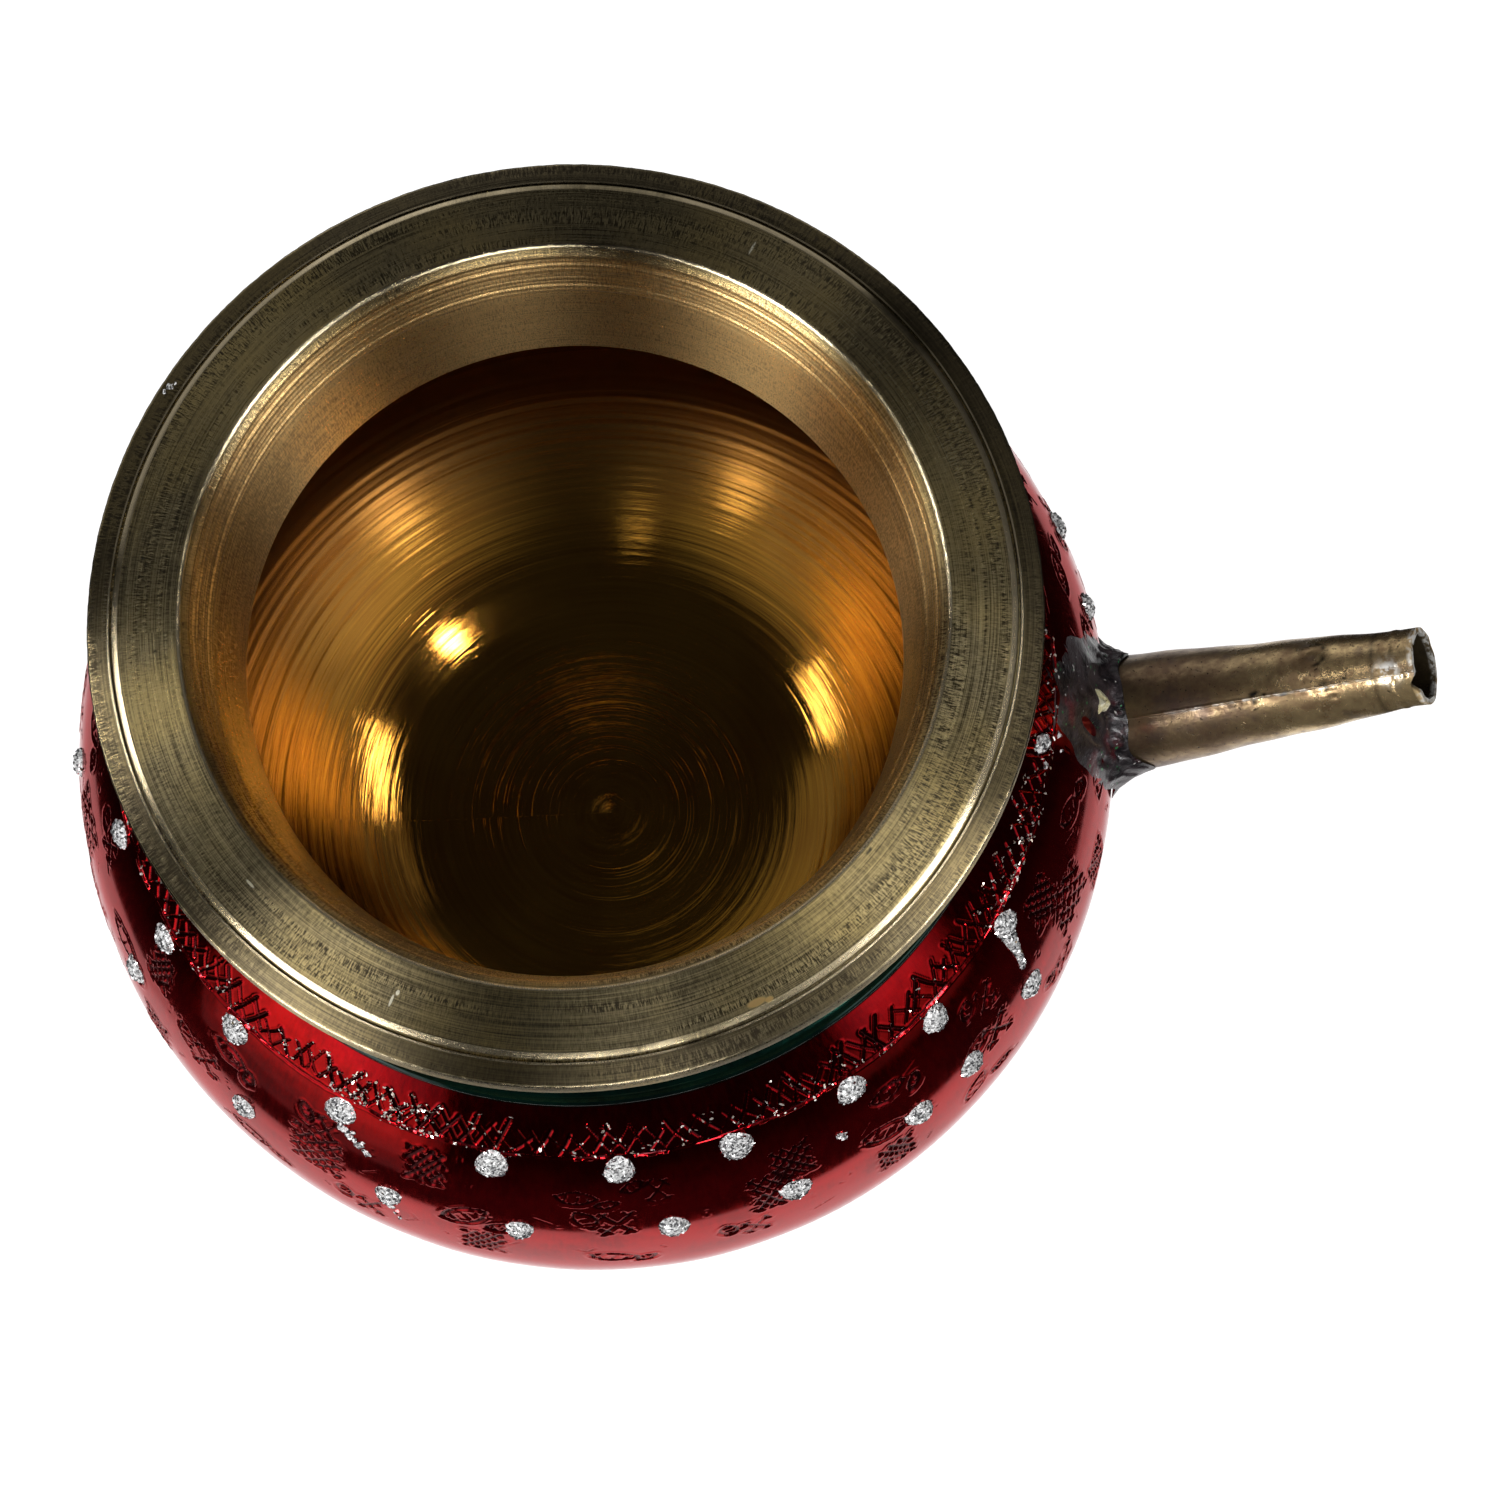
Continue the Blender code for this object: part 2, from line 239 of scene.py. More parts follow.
def turned_brass():
    made = Surface("turned brass", Metallic=1.0, Anisotropic=0.95, Anisotropic_Rotation=0.25)
    radius, angle, height = made.polar()
    lines = made.streaks(9.0, 2.2, 9.0, 4.0, 0.7)
    chatter = made.streaks(1.6, 260.0, 1.6, 3.0, 0.7)
    patches = made.place.noise(70.0, 4.0, 0.6)
    worked = made.streaks(0.8, 1.3, 0.5, 2.0).ramp(0.48, 0.62)
    scratch = made.streaks(30.0, 5.0, 30.0, 3.0, 0.7)
    tone = lines * 0.45 + scratch * 0.35 + patches * 0.2 + (chatter - 0.5) * (worked * 1.1 + 0.3)
    dull = rgb(0.05, 0.04, 0.024)
    clean = patches.ramp(0.35, 0.65).blend(rgb(0.53, 0.43, 0.235), rgb(0.62, 0.47, 0.20))
    colour = tone.ramp(0.36, 0.66).blend(dull, clean)
    specks = made.place.noise(900.0, 2.0).ramp(0.70, 0.78)
    colour = specks.blend(colour, rgb(0.05, 0.045, 0.03))
    ledge = radius.ramp(34.1, 34.3) * radius.ramp(35.86, 35.80)
    colour = (ledge * 0.65).blend(colour, rgb(0.07, 0.055, 0.035))
    bore = height.ramp(68.9, 67.6) * radius.ramp(29.5, 29.0)
    brushed = lines * 0.35 + chatter * 0.4 + patches * 0.25
    bore_metal = brushed.ramp(0.40, 0.60).blend(rgb(0.20, 0.12, 0.05), rgb(0.95, 0.64, 0.27))
    colour = bore.blend(colour, bore_metal)
    worn = radius.ramp(*WORN_OUTSIDE)
    for edge in WORN_EDGES:
        worn = worn + radius.ramp(*edge[:2]) * radius.ramp(*edge[2:])
    worn = worn * height.ramp(66.9, 67.1)
    colour = (worn * patches.ramp(0.30, 0.50)).blend(colour, rgb(0.58, 0.48, 0.31))
    for degrees, out, long, wide, shade in RIM_MARKS:
        across = (angle - math.radians(degrees)) * out / long
        mark = (across * across + ((radius - out) / wide) ** 2.0).ramp(1.0, 0.4) * height.ramp(66.0, 66.5)
        colour = mark.blend(colour, shade)
    rough = tone.ramp(0.3, 0.75, 0.36, 0.24) * (1.0 - bore) + brushed.ramp(0.35, 0.65, 0.38, 0.25) * bore
    held = (angle - (FRONT_AT + VIEW_TURN)).maths("COSINE")
    rough = rough * (1.0 - worn * 0.3) + held * (1.0 - bore) * 0.06
    relief = lines * 0.5 + scratch * 0.3 + (chatter - 0.5) * worked * 0.4
    return made.feed(Base_Color=colour, Roughness=rough, Normal=relief.bump(0.35, 0.00006))


TURNED_BRASS = turned_brass()
print("turned brass nodes:", len(TURNED_BRASS.node_tree.nodes))

# %% [markdown]
# ## Polished brass
# The bowl was spun smooth inside, so lamps show in it as clear patches on a honey-coloured ground. Higher
# up, under the shoulder, the colour is painted darker and browner as shade, and the metal is rougher there.
# The same lathe lines as on the rim are used, only fainter, with the gloss and the colour fading by height.
# One formula is enough where paint would need a second material and a border between the two.


# %% Polished brass inside
def polished_brass():
    made = Surface("polished brass", Metallic=1.0)
    radius, _, height = made.polar()
    lines = made.streaks(3.4, 1.1, 3.4, 3.0, 0.6)
    fine = made.streaks(14.0, 3.0, 14.0, 2.0, 0.6)
    patches = made.place.noise(55.0, 3.0, 0.6)
    tone = patches * 0.6 + lines * 0.4
    colour = tone.ramp(0.3, 0.7).blend(rgb(0.48, 0.19, 0.032), rgb(0.82, 0.42, 0.065))
    # Painted shade: higher up the wall, under the shoulder, the colour is darkened in two steps; the metal
    # is also made rougher there.
    dull = height.ramp(7.5, 13.5)
    vault_shade = height.ramp(18.0, 22.0)
    colour = dull.blend(colour, rgb(0.40, 0.18, 0.045))
    colour = vault_shade.blend(colour, rgb(0.24, 0.175, 0.105))
    rough = (fine * 0.5 + patches * 0.5).ramp(0.3, 0.7, 0.05, 0.10) + dull * 0.12 + vault_shade * 0.25
    tool = made.streaks(4.0, 0.25, 0.0, 2.0, 0.6).ramp(0.56, 0.64)
    disc = radius.ramp(3.0, 6.0) * radius.ramp(14.0, 10.0)
    relief = lines * 0.7 + fine * 0.3 + tool * disc * 0.4
    return made.feed(Base_Color=colour, Roughness=rough, Normal=relief.bump(0.13, 0.00010))


POLISHED_BRASS = polished_brass()
print("polished brass nodes:", len(POLISHED_BRASS.node_tree.nodes))

# %% [markdown]
# ## Lacquer over metal
# The belly wears a clear red lacquer and the neck a green one. Light goes through the colour, strikes the
# brass and comes back, which could be made with a real glass layer. A tinted metal under a clear coat looks
# the same and renders faster. The colour is darker where the coat ran thick and nearly black in the cuts. A
# darker band round the belly is painted shade, where the lacquer mirrors the dark room.


# %% Lacquers: clear colour over metal, under a gloss coat
def lacquer(name, thin, thick, shaded_belt_colour, edge, upper_gloss, upper_metal):
    """A coat whose gloss and metal change with height; one colour paints shade as a darker band round the
    belly.
    """
    made = Surface(name, Coat_Roughness=0.08, Coat_IOR=1.45, Specular_Tint=edge)
    height = made.polar()[2]
    flow = made.streaks(0.25, 7.0, 0.2, 4.0, 0.6)
    cloud = made.place.noise(120.0, 4.0, 0.6)
    brush = made.streaks(1.2, 90.0, 0.5, 3.0, 0.6)
    cut = made.attribute("cut")
    tone = flow * 0.4 + cloud * 0.35 + brush * 0.25
    # Painted shade: a darker band round the belly, where the lacquer mirrors the dark room; its gloss is
    # lowered too.
    belt_edge = height + (cloud - 0.5) * 4.0 + (flow - 0.5) * 5.0
    belt = belt_edge.ramp(34.5, 37.0) * belt_edge.ramp(45.5, 41.5)
    colour = tone.ramp(0.36, 0.60).blend(thick, thin)
    colour = (belt * 0.35).blend(colour, shaded_belt_colour)
    colour = cut.ramp(0.15, 0.75).blend(colour, rgb(0.045, 0.003, 0.005))
    rough = brush.ramp(0.3, 0.7, 0.09, 0.15) + cut.ramp(0.2, 0.8) * 0.15
    gloss = height.ramp(38.0, 47.0, 0.28, upper_gloss) * (1.0 - belt * 0.35)
    peel = made.place.noise(700.0, 2.0, 0.5)
    relief = brush * 0.6 + peel * 0.4
    metal = height.ramp(39.0, 45.0, 0.92, upper_metal)
    return made.feed(Base_Color=colour, Metallic=metal, Roughness=rough, Coat_Weight=gloss,
                     Normal=relief.bump(0.10, 0.00006))


RED_LACQUER = lacquer("red lacquer", thin=rgb(0.43, 0.003, 0.006), thick=rgb(0.22, 0.001, 0.005),
                      shaded_belt_colour=rgb(0.06, 0.002, 0.008), edge=rgb(0.58, 0.06, 0.07),
                      upper_gloss=0.15, upper_metal=1.0)
GREEN_LACQUER = lacquer("green lacquer", thin=rgb(0.006, 0.06, 0.04), thick=rgb(0.003, 0.02, 0.016),
                        shaded_belt_colour=rgb(0.003, 0.02, 0.016), edge=rgb(0.2, 0.3, 0.3),
                        upper_gloss=1.0, upper_metal=0.92)
print("lacquers:", RED_LACQUER.name, "and", GREEN_LACQUER.name)

# %% [markdown]
# ## Rolled brass
# The spout is sheet that was heated, rolled and soldered. Its colour is darkened towards the pot as painted
# shade, where the rim shades the root, and it is lighter at its tip. Where the dirt, the solder, the
# painted shade and a painted highlight lie follows the seam, not the axis of the pot, so the mesh carries
# two attributes, one for dirt and shade and one for solder and the highlight, and the material only mixes
# the metals by them.


# %% Rolled brass of the spout
def rolled_brass():
    made = Surface("rolled brass")
    stain = made.place.noise(170.0, 5.0, 0.65)
    grain = made.place.noise(1400.0, 3.0, 0.6)
    fleck = made.place.noise(3800.0, 2.0, 0.6)
    grime_and_shade = made.attribute("grime_and_shade")
    tin_and_highlight = made.attribute("tin_and_highlight")
    tone = stain * 0.6 + grain * 0.4
    # Painted shade: the colour is darkened towards the pot, where the rim shades the root of the spout.
    root = (made.x * TO_MM).ramp(61.0, 47.0)
    colour = tone.ramp(0.36, 0.64).blend(rgb(0.26, 0.165, 0.085), rgb(0.68, 0.50, 0.25))
    colour = (root * 0.6).blend(colour, rgb(0.13, 0.08, 0.055))
    violet = made.place.noise(260.0, 3.0, 0.6).ramp(0.52, 0.68)
    colour = (violet * 0.5).blend(colour, rgb(0.10, 0.07, 0.075))
    # Flux pits go nearly black, and so do the inside of the tube and the part near the pot, which is
    # painted shade.
    pits = fleck.ramp(0.64, 0.72).maths("MAXIMUM", grime_and_shade)
    colour = pits.blend(colour, rgb(0.012, 0.010, 0.008))
    # Pale solder near the tip, and a broken pale line along the seam that is a painted highlight.
    colour = (tin_and_highlight * grain.ramp(0.42, 0.58)).blend(colour, rgb(0.85, 0.84, 0.80))
    rough = tone.ramp(0.3, 0.7, 0.32, 0.17) + root * 0.1
    relief = grain * 0.7 + stain * 0.3 - pits * 0.4
    return made.feed(Base_Color=colour, Roughness=rough, Metallic=0.82 - tin_and_highlight * 0.6,
                     Normal=relief.bump(0.35, 0.00012))


ROLLED_BRASS = rolled_brass()
print("rolled brass nodes:", len(ROLLED_BRASS.node_tree.nodes))

# %% [markdown]
# ## Solder
# The lump round the spout's root is solder that was brushed with leftover lacquer: nearly black, with red
# and green specks and small bright chips. Three noises of different scale make the specks, and a strong
# bump makes the crust, which would take far too many faces as real shape.


# %% Solder under dark lacquer
def dark_solder():
    made = Surface("lacquered solder", Metallic=0.4, Coat_Weight=0.35, Coat_Roughness=0.2)
    cloud = made.place.noise(260.0, 5.0, 0.7)
    red = made.place.noise(190.0, 4.0, 0.6).ramp(0.54, 0.68)
    colour = cloud.ramp(0.38, 0.66).blend(rgb(0.005, 0.003, 0.005), rgb(0.050, 0.036, 0.040))
    colour = (red * 0.8).blend(colour, rgb(0.11, 0.006, 0.014))
    green = made.place.noise(1500.0, 1.0).ramp(0.70, 0.74)
    colour = green.blend(colour, rgb(0.02, 0.20, 0.06))
    chips = made.place.noise(2300.0, 1.0).ramp(0.73, 0.76)
    colour = chips.blend(colour, rgb(0.60, 0.58, 0.55))
    relief = cloud * 0.6 + made.place.noise(1600.0, 3.0) * 0.4
    rough = cloud.ramp(0.3, 0.7, 0.32, 0.6)
    return made.feed(Base_Color=colour, Roughness=rough, Normal=relief.bump(0.9, 0.0006))


DARK_SOLDER = dark_solder()
print("solder nodes:", len(DARK_SOLDER.node_tree.nodes))

# %% [markdown]
# ## Glitter paint
# The dots are clear paint full of silver flakes. A sparkle texture would look flat, so the flakes are real
# small faces later on. Here each flake reads its own random value and becomes a dark facet, a pale one or a
# mirror. The paint under them is a plain grey.


# %% Glitter flakes and their clear paint
def glitter_flake(name, dark, bright):
    made = Surface(name, Coat_Weight=0.5)
    chance = made.attribute("flake")
    colour = chance.ramp(0.42, 0.50).blend(dark, bright)
    rough = chance.ramp(0.0, 1.0, 0.50, 0.15)
    mirror = chance.ramp(0.66, 0.68, 0.0, 1.0)
    return made.feed(Base_Color=colour, Roughness=rough, Metallic=mirror)


def grainy(name, noise, dark, bright, rough, relief=None, **fixed):
    """A plain finish whose colour, gloss and relief all follow one fine noise."""
    made = Surface(name, **fixed)
    grain = made.place.noise(*noise)
    if relief:
        made.feed(Normal=grain.bump(*relief))
    colour = grain.ramp(0.35, 0.65).blend(dark, bright)
    return made.feed(Base_Color=colour, Roughness=grain.ramp(0.3, 0.7, *rough))


SILVER_FLAKE = glitter_flake("silver flakes", rgb(0.05, 0.05, 0.055), rgb(0.97, 0.97, 0.97))
GLITTER_PAINT = grainy("glitter paint", (4200.0, 3.0, 0.7), rgb(0.22, 0.22, 0.22), rgb(0.85, 0.85, 0.85),
                       rough=(0.5, 0.3), relief=(0.4, 0.0001), Coat_Weight=0.6)
print("glitter finishes:", SILVER_FLAKE.name, "and", GLITTER_PAINT.name)

# %% [markdown]
# ## Bare metal in the cuts
# The graver raised sharp lips beside its cuts, and the lacquer has come off them in places. There the brass
# shows as pale glints. It is a plain metal with a little grain, because each glint is only a few pixels
# wide.

# %% Bare metal
BARE_METAL = grainy("bare metal in the cuts", (2500.0, 2.0), rgb(0.75, 0.62, 0.50), rgb(0.95, 0.92, 0.88),
                    rough=(0.12, 0.3), Metallic=0.7)
print("bare metal nodes:", len(BARE_METAL.node_tree.nodes))

# %% [markdown]
# ## Turning a profile
# `turn` spins a list of (radius, height) points into a mesh, the way a lathe works. An optional `wear`
# function moves the points a little, so that edges get nicks and are not perfect circles.


# %% Turning
def add_piece(name, verts, faces, material, sharp=35.0):
    mesh = bpy.data.meshes.new(name)
    mesh.from_pydata([tuple(v) for v in verts], [], faces)
    mesh.validate()
    mesh.shade_smooth()
    mesh.set_sharp_from_angle(angle=math.radians(sharp))
    mesh.materials.append(material)
    return add_object(name, mesh)


def skin_faces(rows, cols):
    """Quads between rings of `cols` points, seen from outside when the skin runs down."""
    return [((i + 1) * cols + j, (i + 1) * cols + (j + 1) % cols, i * cols + (j + 1) % cols, i * cols + j)
            for i in range(rows) for j in range(cols)]


def turn(name, profile, material, turns, wear=None, sharp=35.0):
    profile = np.asarray(profile, float)
    angle = np.linspace(0.0, 2 * np.pi, turns, endpoint=False)
    radius = np.repeat(profile[:, :1], turns, 1)
    height = np.repeat(profile[:, 1:], turns, 1)
    if wear is not None:
        radius, height = wear(radius, height, angle[None, :])
    verts = np.stack([radius * np.cos(angle), radius * np.sin(angle), height], -1).reshape(-1, 3)
    return add_piece(name, verts, skin_faces(len(profile) - 1, turns), material, sharp)


def arc_points(start, end, centre_out, centre_up, steps):
    """Quarter of an oval from start to end; `centre_out` and `centre_up` say which way it bows."""
    made = []
    for i in range(steps + 1):
        a = 0.5 * math.pi * i / steps
        made.append((start[0] + (end[0] - start[0]) * (math.sin(a) if centre_out else 1 - math.cos(a)),
                     start[1] + (end[1] - start[1]) * (math.sin(a) if centre_up else 1 - math.cos(a))))
    return made


def bell(x, centre, width):
    """1 at the centre, fading to 0 on both sides."""
    return np.exp(-((x - centre) / width) ** 2)


def step_up(x, start, length):
    """0 before the start, then a straight climb to 1."""
    return np.clip((x - start) / length, 0, 1)


def wobble(angle, seed, waves, size):
    """A smooth closed ripple round the axis, the same on every run."""
    chance = np.random.default_rng(seed)
    total = np.zeros_like(angle)
    for wave in waves:
        total = total + chance.normal() * np.cos(wave * angle + chance.uniform(0, 2 * np.pi))
    return size * total / math.sqrt(len(waves))


print("turning helpers ready")

# %% [markdown]
# ## The mouth ring
# From inside to outside the rim has a flat top, a narrow bevel that catches the light, a thin cut groove
# and a lower ledge. The edge is rough from use. The bore flares at the top with a few deep tool marks.

# %% Rim
MOUTH_R = 28.9
BORE_R = 25.4
BORE_DEPTH = 13.8
RIM_R = 36.0
BEVEL_WIDEST = math.radians(-12.0)   # where the hand-filed bevel is widest
rim_mm = RIM_Z / MM


def rim_profile():
    """Points as distance from the axis and depth below the top, in mm, from the bore to under the edge."""
    bore = [(BORE_R + 0.9, BORE_DEPTH - 0.02), (BORE_R + 0.12, BORE_DEPTH), (BORE_R, BORE_DEPTH - 0.12)]
    for depth in np.linspace(BORE_DEPTH - 0.4, 5.2, 14):
        along = (BORE_DEPTH - depth) / (BORE_DEPTH - 5.0)
        bore.append((BORE_R + 1.5 * along ** 1.3, depth))
    for depth in np.linspace(5.0, 0.7, 50):
        along = (5.0 - depth) / 4.3
        groove = 0.07 * max(0.0, math.sin(depth * 5.2)) ** 3 + 0.03 * math.sin(depth * 13.0)
        bore.append((BORE_R + 1.5 + 1.4 * along ** 1.2 + groove, depth))
    lip = [(MOUTH_R - 0.30, 0.45), (MOUTH_R - 0.16, 0.22), (MOUTH_R - 0.06, 0.10), (MOUTH_R + 0.06, 0.03),
           (MOUTH_R + 0.18, 0.0)]
    flat = [(r, 0.10 * (r - MOUTH_R - 0.3) + 0.01 * math.sin(r * 9.0) ** 2)
            for r in np.linspace(MOUTH_R + 0.3, 33.5, 36)]
    bevel = [(33.56, 0.44), (33.62, 0.46), (33.96, 0.64), (34.03, 0.70)]
    groove = [(34.07, 0.96), (34.20, 0.98), (34.25, 0.80), (34.39, 0.84), (34.44, 1.02), (34.54, 1.05)]
    ledge = [(r, 1.06 + 0.40 * (r - 34.62) / 1.3) for r in np.linspace(34.75, 35.8, 12)]
    edge = [(35.93, 1.52), (RIM_R, 1.62), (RIM_R, 2.6), (RIM_R - 0.03, 3.45), (35.86, 3.58), (35.7, 3.66)]
    under = arc_points((35.2, 4.35), (31.2, 5.6), True, False, 10)
    points = bore + lip + flat + bevel + groove + ledge + edge + under
    return np.array([(out, rim_mm - depth) for out, depth in points]) * MM


def rim_wear(radius, height, angle):
    """Small dents and burrs along the outer edge and the mouth's edge."""
    outer = bell(radius / MM, 35.95, 0.16) * (height > RIM_Z - 2.2 * MM)
    inner = bell(radius / MM, 28.95, 0.14) * (height > RIM_Z - 0.5 * MM)
    rough = wobble(angle, 3, range(60, 330, 17), 0.025) + wobble(angle, 5, range(5, 30, 3), 0.02)
    fine = wobble(angle, 8, range(90, 260, 13), 0.03)
    nick = np.minimum(0.0, wobble(angle, 21, range(30, 120, 7), 1.0) + 2.0) * 0.22
    side = (angle - BEVEL_WIDEST + np.pi) % (2 * np.pi) - np.pi
    near_bevel = step_up(radius / MM, 32.4, 1.1) * (radius / MM < 33.7)
    wide = 0.4 * bell(side, 0.0, 0.55) * near_bevel
    radius = radius + MM * (outer * (0.5 * rough + nick) + inner * 0.4 * fine - wide)
    height = height + MM * (outer * (0.4 * rough + 0.6 * nick) + inner * 0.5 * fine + 0.1 * wide)
    return radius, height


rim = turn("turned_rim", rim_profile(), TURNED_BRASS, turns=660, wear=rim_wear, sharp=50.0)
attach(rim, "root")
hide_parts("mouth_ring")
print("rim triangles:", 2 * len(rim.data.polygons))

# %% [markdown]
# ## Neck and belly
# The outline of the belly is an oval shoulder over a lower curve that turns in to the base. The neck is its
# own green band, and the red coat runs from the neck's foot to the base.

# %% Belly outline
FLOOR_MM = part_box("lower_bowl")[0].z / MM
BELLY_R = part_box("upper_bowl")[1].y / MM
BELLY_Z = FLOOR_MM + 22.3
SHOULDER_RISE = 41.9
BASE_R = 20.0
WALL = 2.0


def shoulder_point(height_mm, off=0.0):
    """Radius and height on the shoulder, and the way out, for a height in mm."""
    lift = (height_mm - BELLY_Z) / SHOULDER_RISE
    flat = math.sqrt(1 - lift * lift)
    out = Vector((flat / BELLY_R, lift / SHOULDER_RISE)).normalized()
    return Vector((BELLY_R * flat, height_mm)) + out * off


def haunch_point(t):
    """Radius and height on the lower curve, from the widest place at t = 0 to the base at t = 1."""
    a = np.array((BELLY_R, BELLY_Z))
    b = np.array((BELLY_R, BELLY_Z - 16.0))
    c = np.array((BASE_R + 13.1, FLOOR_MM))
    d = np.array((BASE_R, FLOOR_MM))
    s = 1 - t
    return a * s ** 3 + b * 3 * s * s * t + c * 3 * s * t * t + d * t ** 3


print("belly in mm: radius", round(BELLY_R, 1), "widest at", round(BELLY_Z, 1))

# %% [markdown]
# ## The neck
# Between rim and belly the neck draws in and then flares to a small skirt that sits on the shoulder. It is
# all one green coat, so it is one turned piece. Two quarter ovals give its hollow curve with two sizes.

# %% Neck
SKIRT_R = 34.2
WAIST_R = 29.4
WAIST_Z = rim_mm - 8.7
skirt_z = BELLY_Z + SHOULDER_RISE * math.sqrt(1 - (SKIRT_R / BELLY_R) ** 2)

neck_points = (arc_points((35.4, rim_mm - 4.1), (WAIST_R, WAIST_Z), True, False, 24)
               + arc_points((WAIST_R, WAIST_Z), (SKIRT_R - 0.15, skirt_z + 1.25), False, True, 24)[1:]
               + [(SKIRT_R, skirt_z + 1.05), (SKIRT_R + 0.05, skirt_z + 0.7),
                  (SKIRT_R + 0.02, skirt_z + 0.1), (SKIRT_R - 0.3, skirt_z + 0.05)])
neck = turn("green_neck", np.array(neck_points) * MM, GREEN_LACQUER, turns=512)
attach(neck, "root")
print("neck in mm: waist at", round(WAIST_Z, 1), "skirt at", round(skirt_z, 1))

# %% [markdown]
# ## The crossed band
# The cuts are real grooves. Every stroke is a poly-line on the shell, given as angle and height, with a
# width and a depth in mm. Under the neck runs a band of crosses over one cut line. A stamp would repeat
# exactly, so each stroke is drawn anew with a little chance in its place, lean, length and depth, as a hand
# would cut it.

# %% Crossed band
HATCH_LOW = 45.55     # height of the cut line under the crossed band, in mm
HATCH_HIGH = 48.5
HATCH_COPIES = 156
RING_POINTS = 400
hand = np.random.default_rng(11)


def crossed_band():
    made = []
    step = 2 * math.pi / HATCH_COPIES
    for i in range(HATCH_COPIES):
        for side in (-1, 1):
            at = (i + hand.normal(0, 0.13)) * step
            lean = side * step * hand.uniform(0.32, 0.62)
            low = HATCH_LOW + hand.uniform(0.0, 0.6)
            high = HATCH_HIGH + hand.uniform(-1.1, 0.3)
            bend = step * hand.normal(0, 0.06)
            line = [(at - lean, low), (at + bend, 0.5 * (low + high)), (at + lean, high)]
            made.append((line, hand.uniform(0.08, 0.14), hand.uniform(0.08, 0.16)))
    ring = [(a, HATCH_LOW - 0.12 + 0.08 * math.sin(23 * a) + hand.normal(0, 0.03))
            for a in np.linspace(0, 2 * math.pi, RING_POINTS)]
    for start in range(0, RING_POINTS - 4, 4):
        made.append((ring[start:start + 5], 0.15, hand.choice((0.06, 0.10, 0.15))))
    return made


print("crosses round the band:", HATCH_COPIES)

# %% [markdown]
# ## Lozenges and leaves
# Below the band the belly carries three rows of diamonds filled with crossed lines and of curled leaves,
# with loose ticks between them. Two small functions draw one diamond or one leaf at a place, and the rows
# call them in turn with other sizes, so that no two motifs are the same.


# %% Lozenges and leaves
RADIAN_MM = 40.0      # mm round the belly for one radian, near enough for small strokes
# Each row: height in mm, copies round the pot, and size.
MOTIF_ROWS = [(40.6, 26, 0.75), (35.4, 22, 1.0), (29.6, 24, 0.85)]


def lozenge(at, height, wide, tall, lines):
    """A diamond filled with crossed lines; `wide` is an angle."""
    made = []
    for i in range(-lines, lines + 1):
        k = i / (lines + 0.3)
        span = 1 - abs(k)
        for side in (-1, 1):
            start = (at + side * wide * 0.5 * (k - span), height + tall * 0.5 * (k + span))
            end = (at + side * wide * 0.5 * (k + span), height + tall * 0.5 * (k - span))
            shift = hand.normal(0, 0.12, 4)
            line = [(start[0] + shift[0] / RADIAN_MM, start[1] + shift[1]),
                    (end[0] + shift[2] / RADIAN_MM, end[1] + shift[3])]
            made.append((line, hand.uniform(0.13, 0.20), hand.uniform(0.08, 0.15)))
    return made


def leaf(at, height, long, wide, lean):
    """A curled leaf outline with ticks inside."""

    def placed(along, across):
        return (at + (along * math.cos(lean) - across * math.sin(lean)) / RADIAN_MM,
                height + along * math.sin(lean) + across * math.cos(lean))

    made = []
    for side in (-1, 1):
        line = []
        for t in np.linspace(0, 1, 12):
            across = side * wide * math.sin(math.pi * t) ** 0.7 + 0.5 * wide * t * t
            turned, up = placed((t - 0.5) * long, across)
            line.append((turned, up + hand.normal(0, 0.05)))
        made.append((line, hand.uniform(0.14, 0.22), hand.uniform(0.08, 0.15)))
    for t in (-0.25, 0.05, 0.3):
        made.append(([placed(t * long, -0.4 * wide), placed(t * long, 0.5 * wide)], 0.13, 0.09))
    return made


def belly_motifs():
    made = []
    for row, (height, copies, size) in enumerate(MOTIF_ROWS):
        step = 2 * math.pi / copies
        for i in range(copies):
            at = (i + 0.5 * row + hand.normal(0, 0.1)) * step
            up = height + hand.normal(0, 0.5)
            kind = (i + row) % 3
            if kind == 0:
                made += lozenge(at, up, 0.10 * size * hand.uniform(0.8, 1.2), 5.6 * size, 3)
            elif kind == 1:
                made += leaf(at, up, 4.4 * size, 1.15 * size, hand.uniform(-1.2, 1.2))
                made += leaf(at + 0.25 * step, up - 1.0, 2.6 * size, 0.7 * size, hand.uniform(-1.5, 1.5))
            else:
                made += lozenge(at, up, 0.06 * size, 3.6 * size, 1)
                made += leaf(at - 0.2 * step, up + 0.8, 2.8 * size, 0.8 * size, hand.uniform(0.3, 2.0))
            for _ in range(3):
                turned = at + step * hand.uniform(-0.5, 0.5)
                start = up + hand.uniform(-2.5, 2.0)
                end = (turned + hand.normal(0, 0.015), start + hand.uniform(0.4, 1.3))
                made.append(([(turned, start), end], 0.08, 0.06))
    return made


print("motifs:", sum(copies for _, copies, _ in MOTIF_ROWS))

# %% [markdown]
# ## From strokes to grooves
# A Boolean for every stroke would be slow and fragile, and a bump map goes flat at the belly's edge. So the
# shell is a fine grid of angle and height, and each point sinks by its distance to the nearest stroke, with
# a small burr beside the cut.


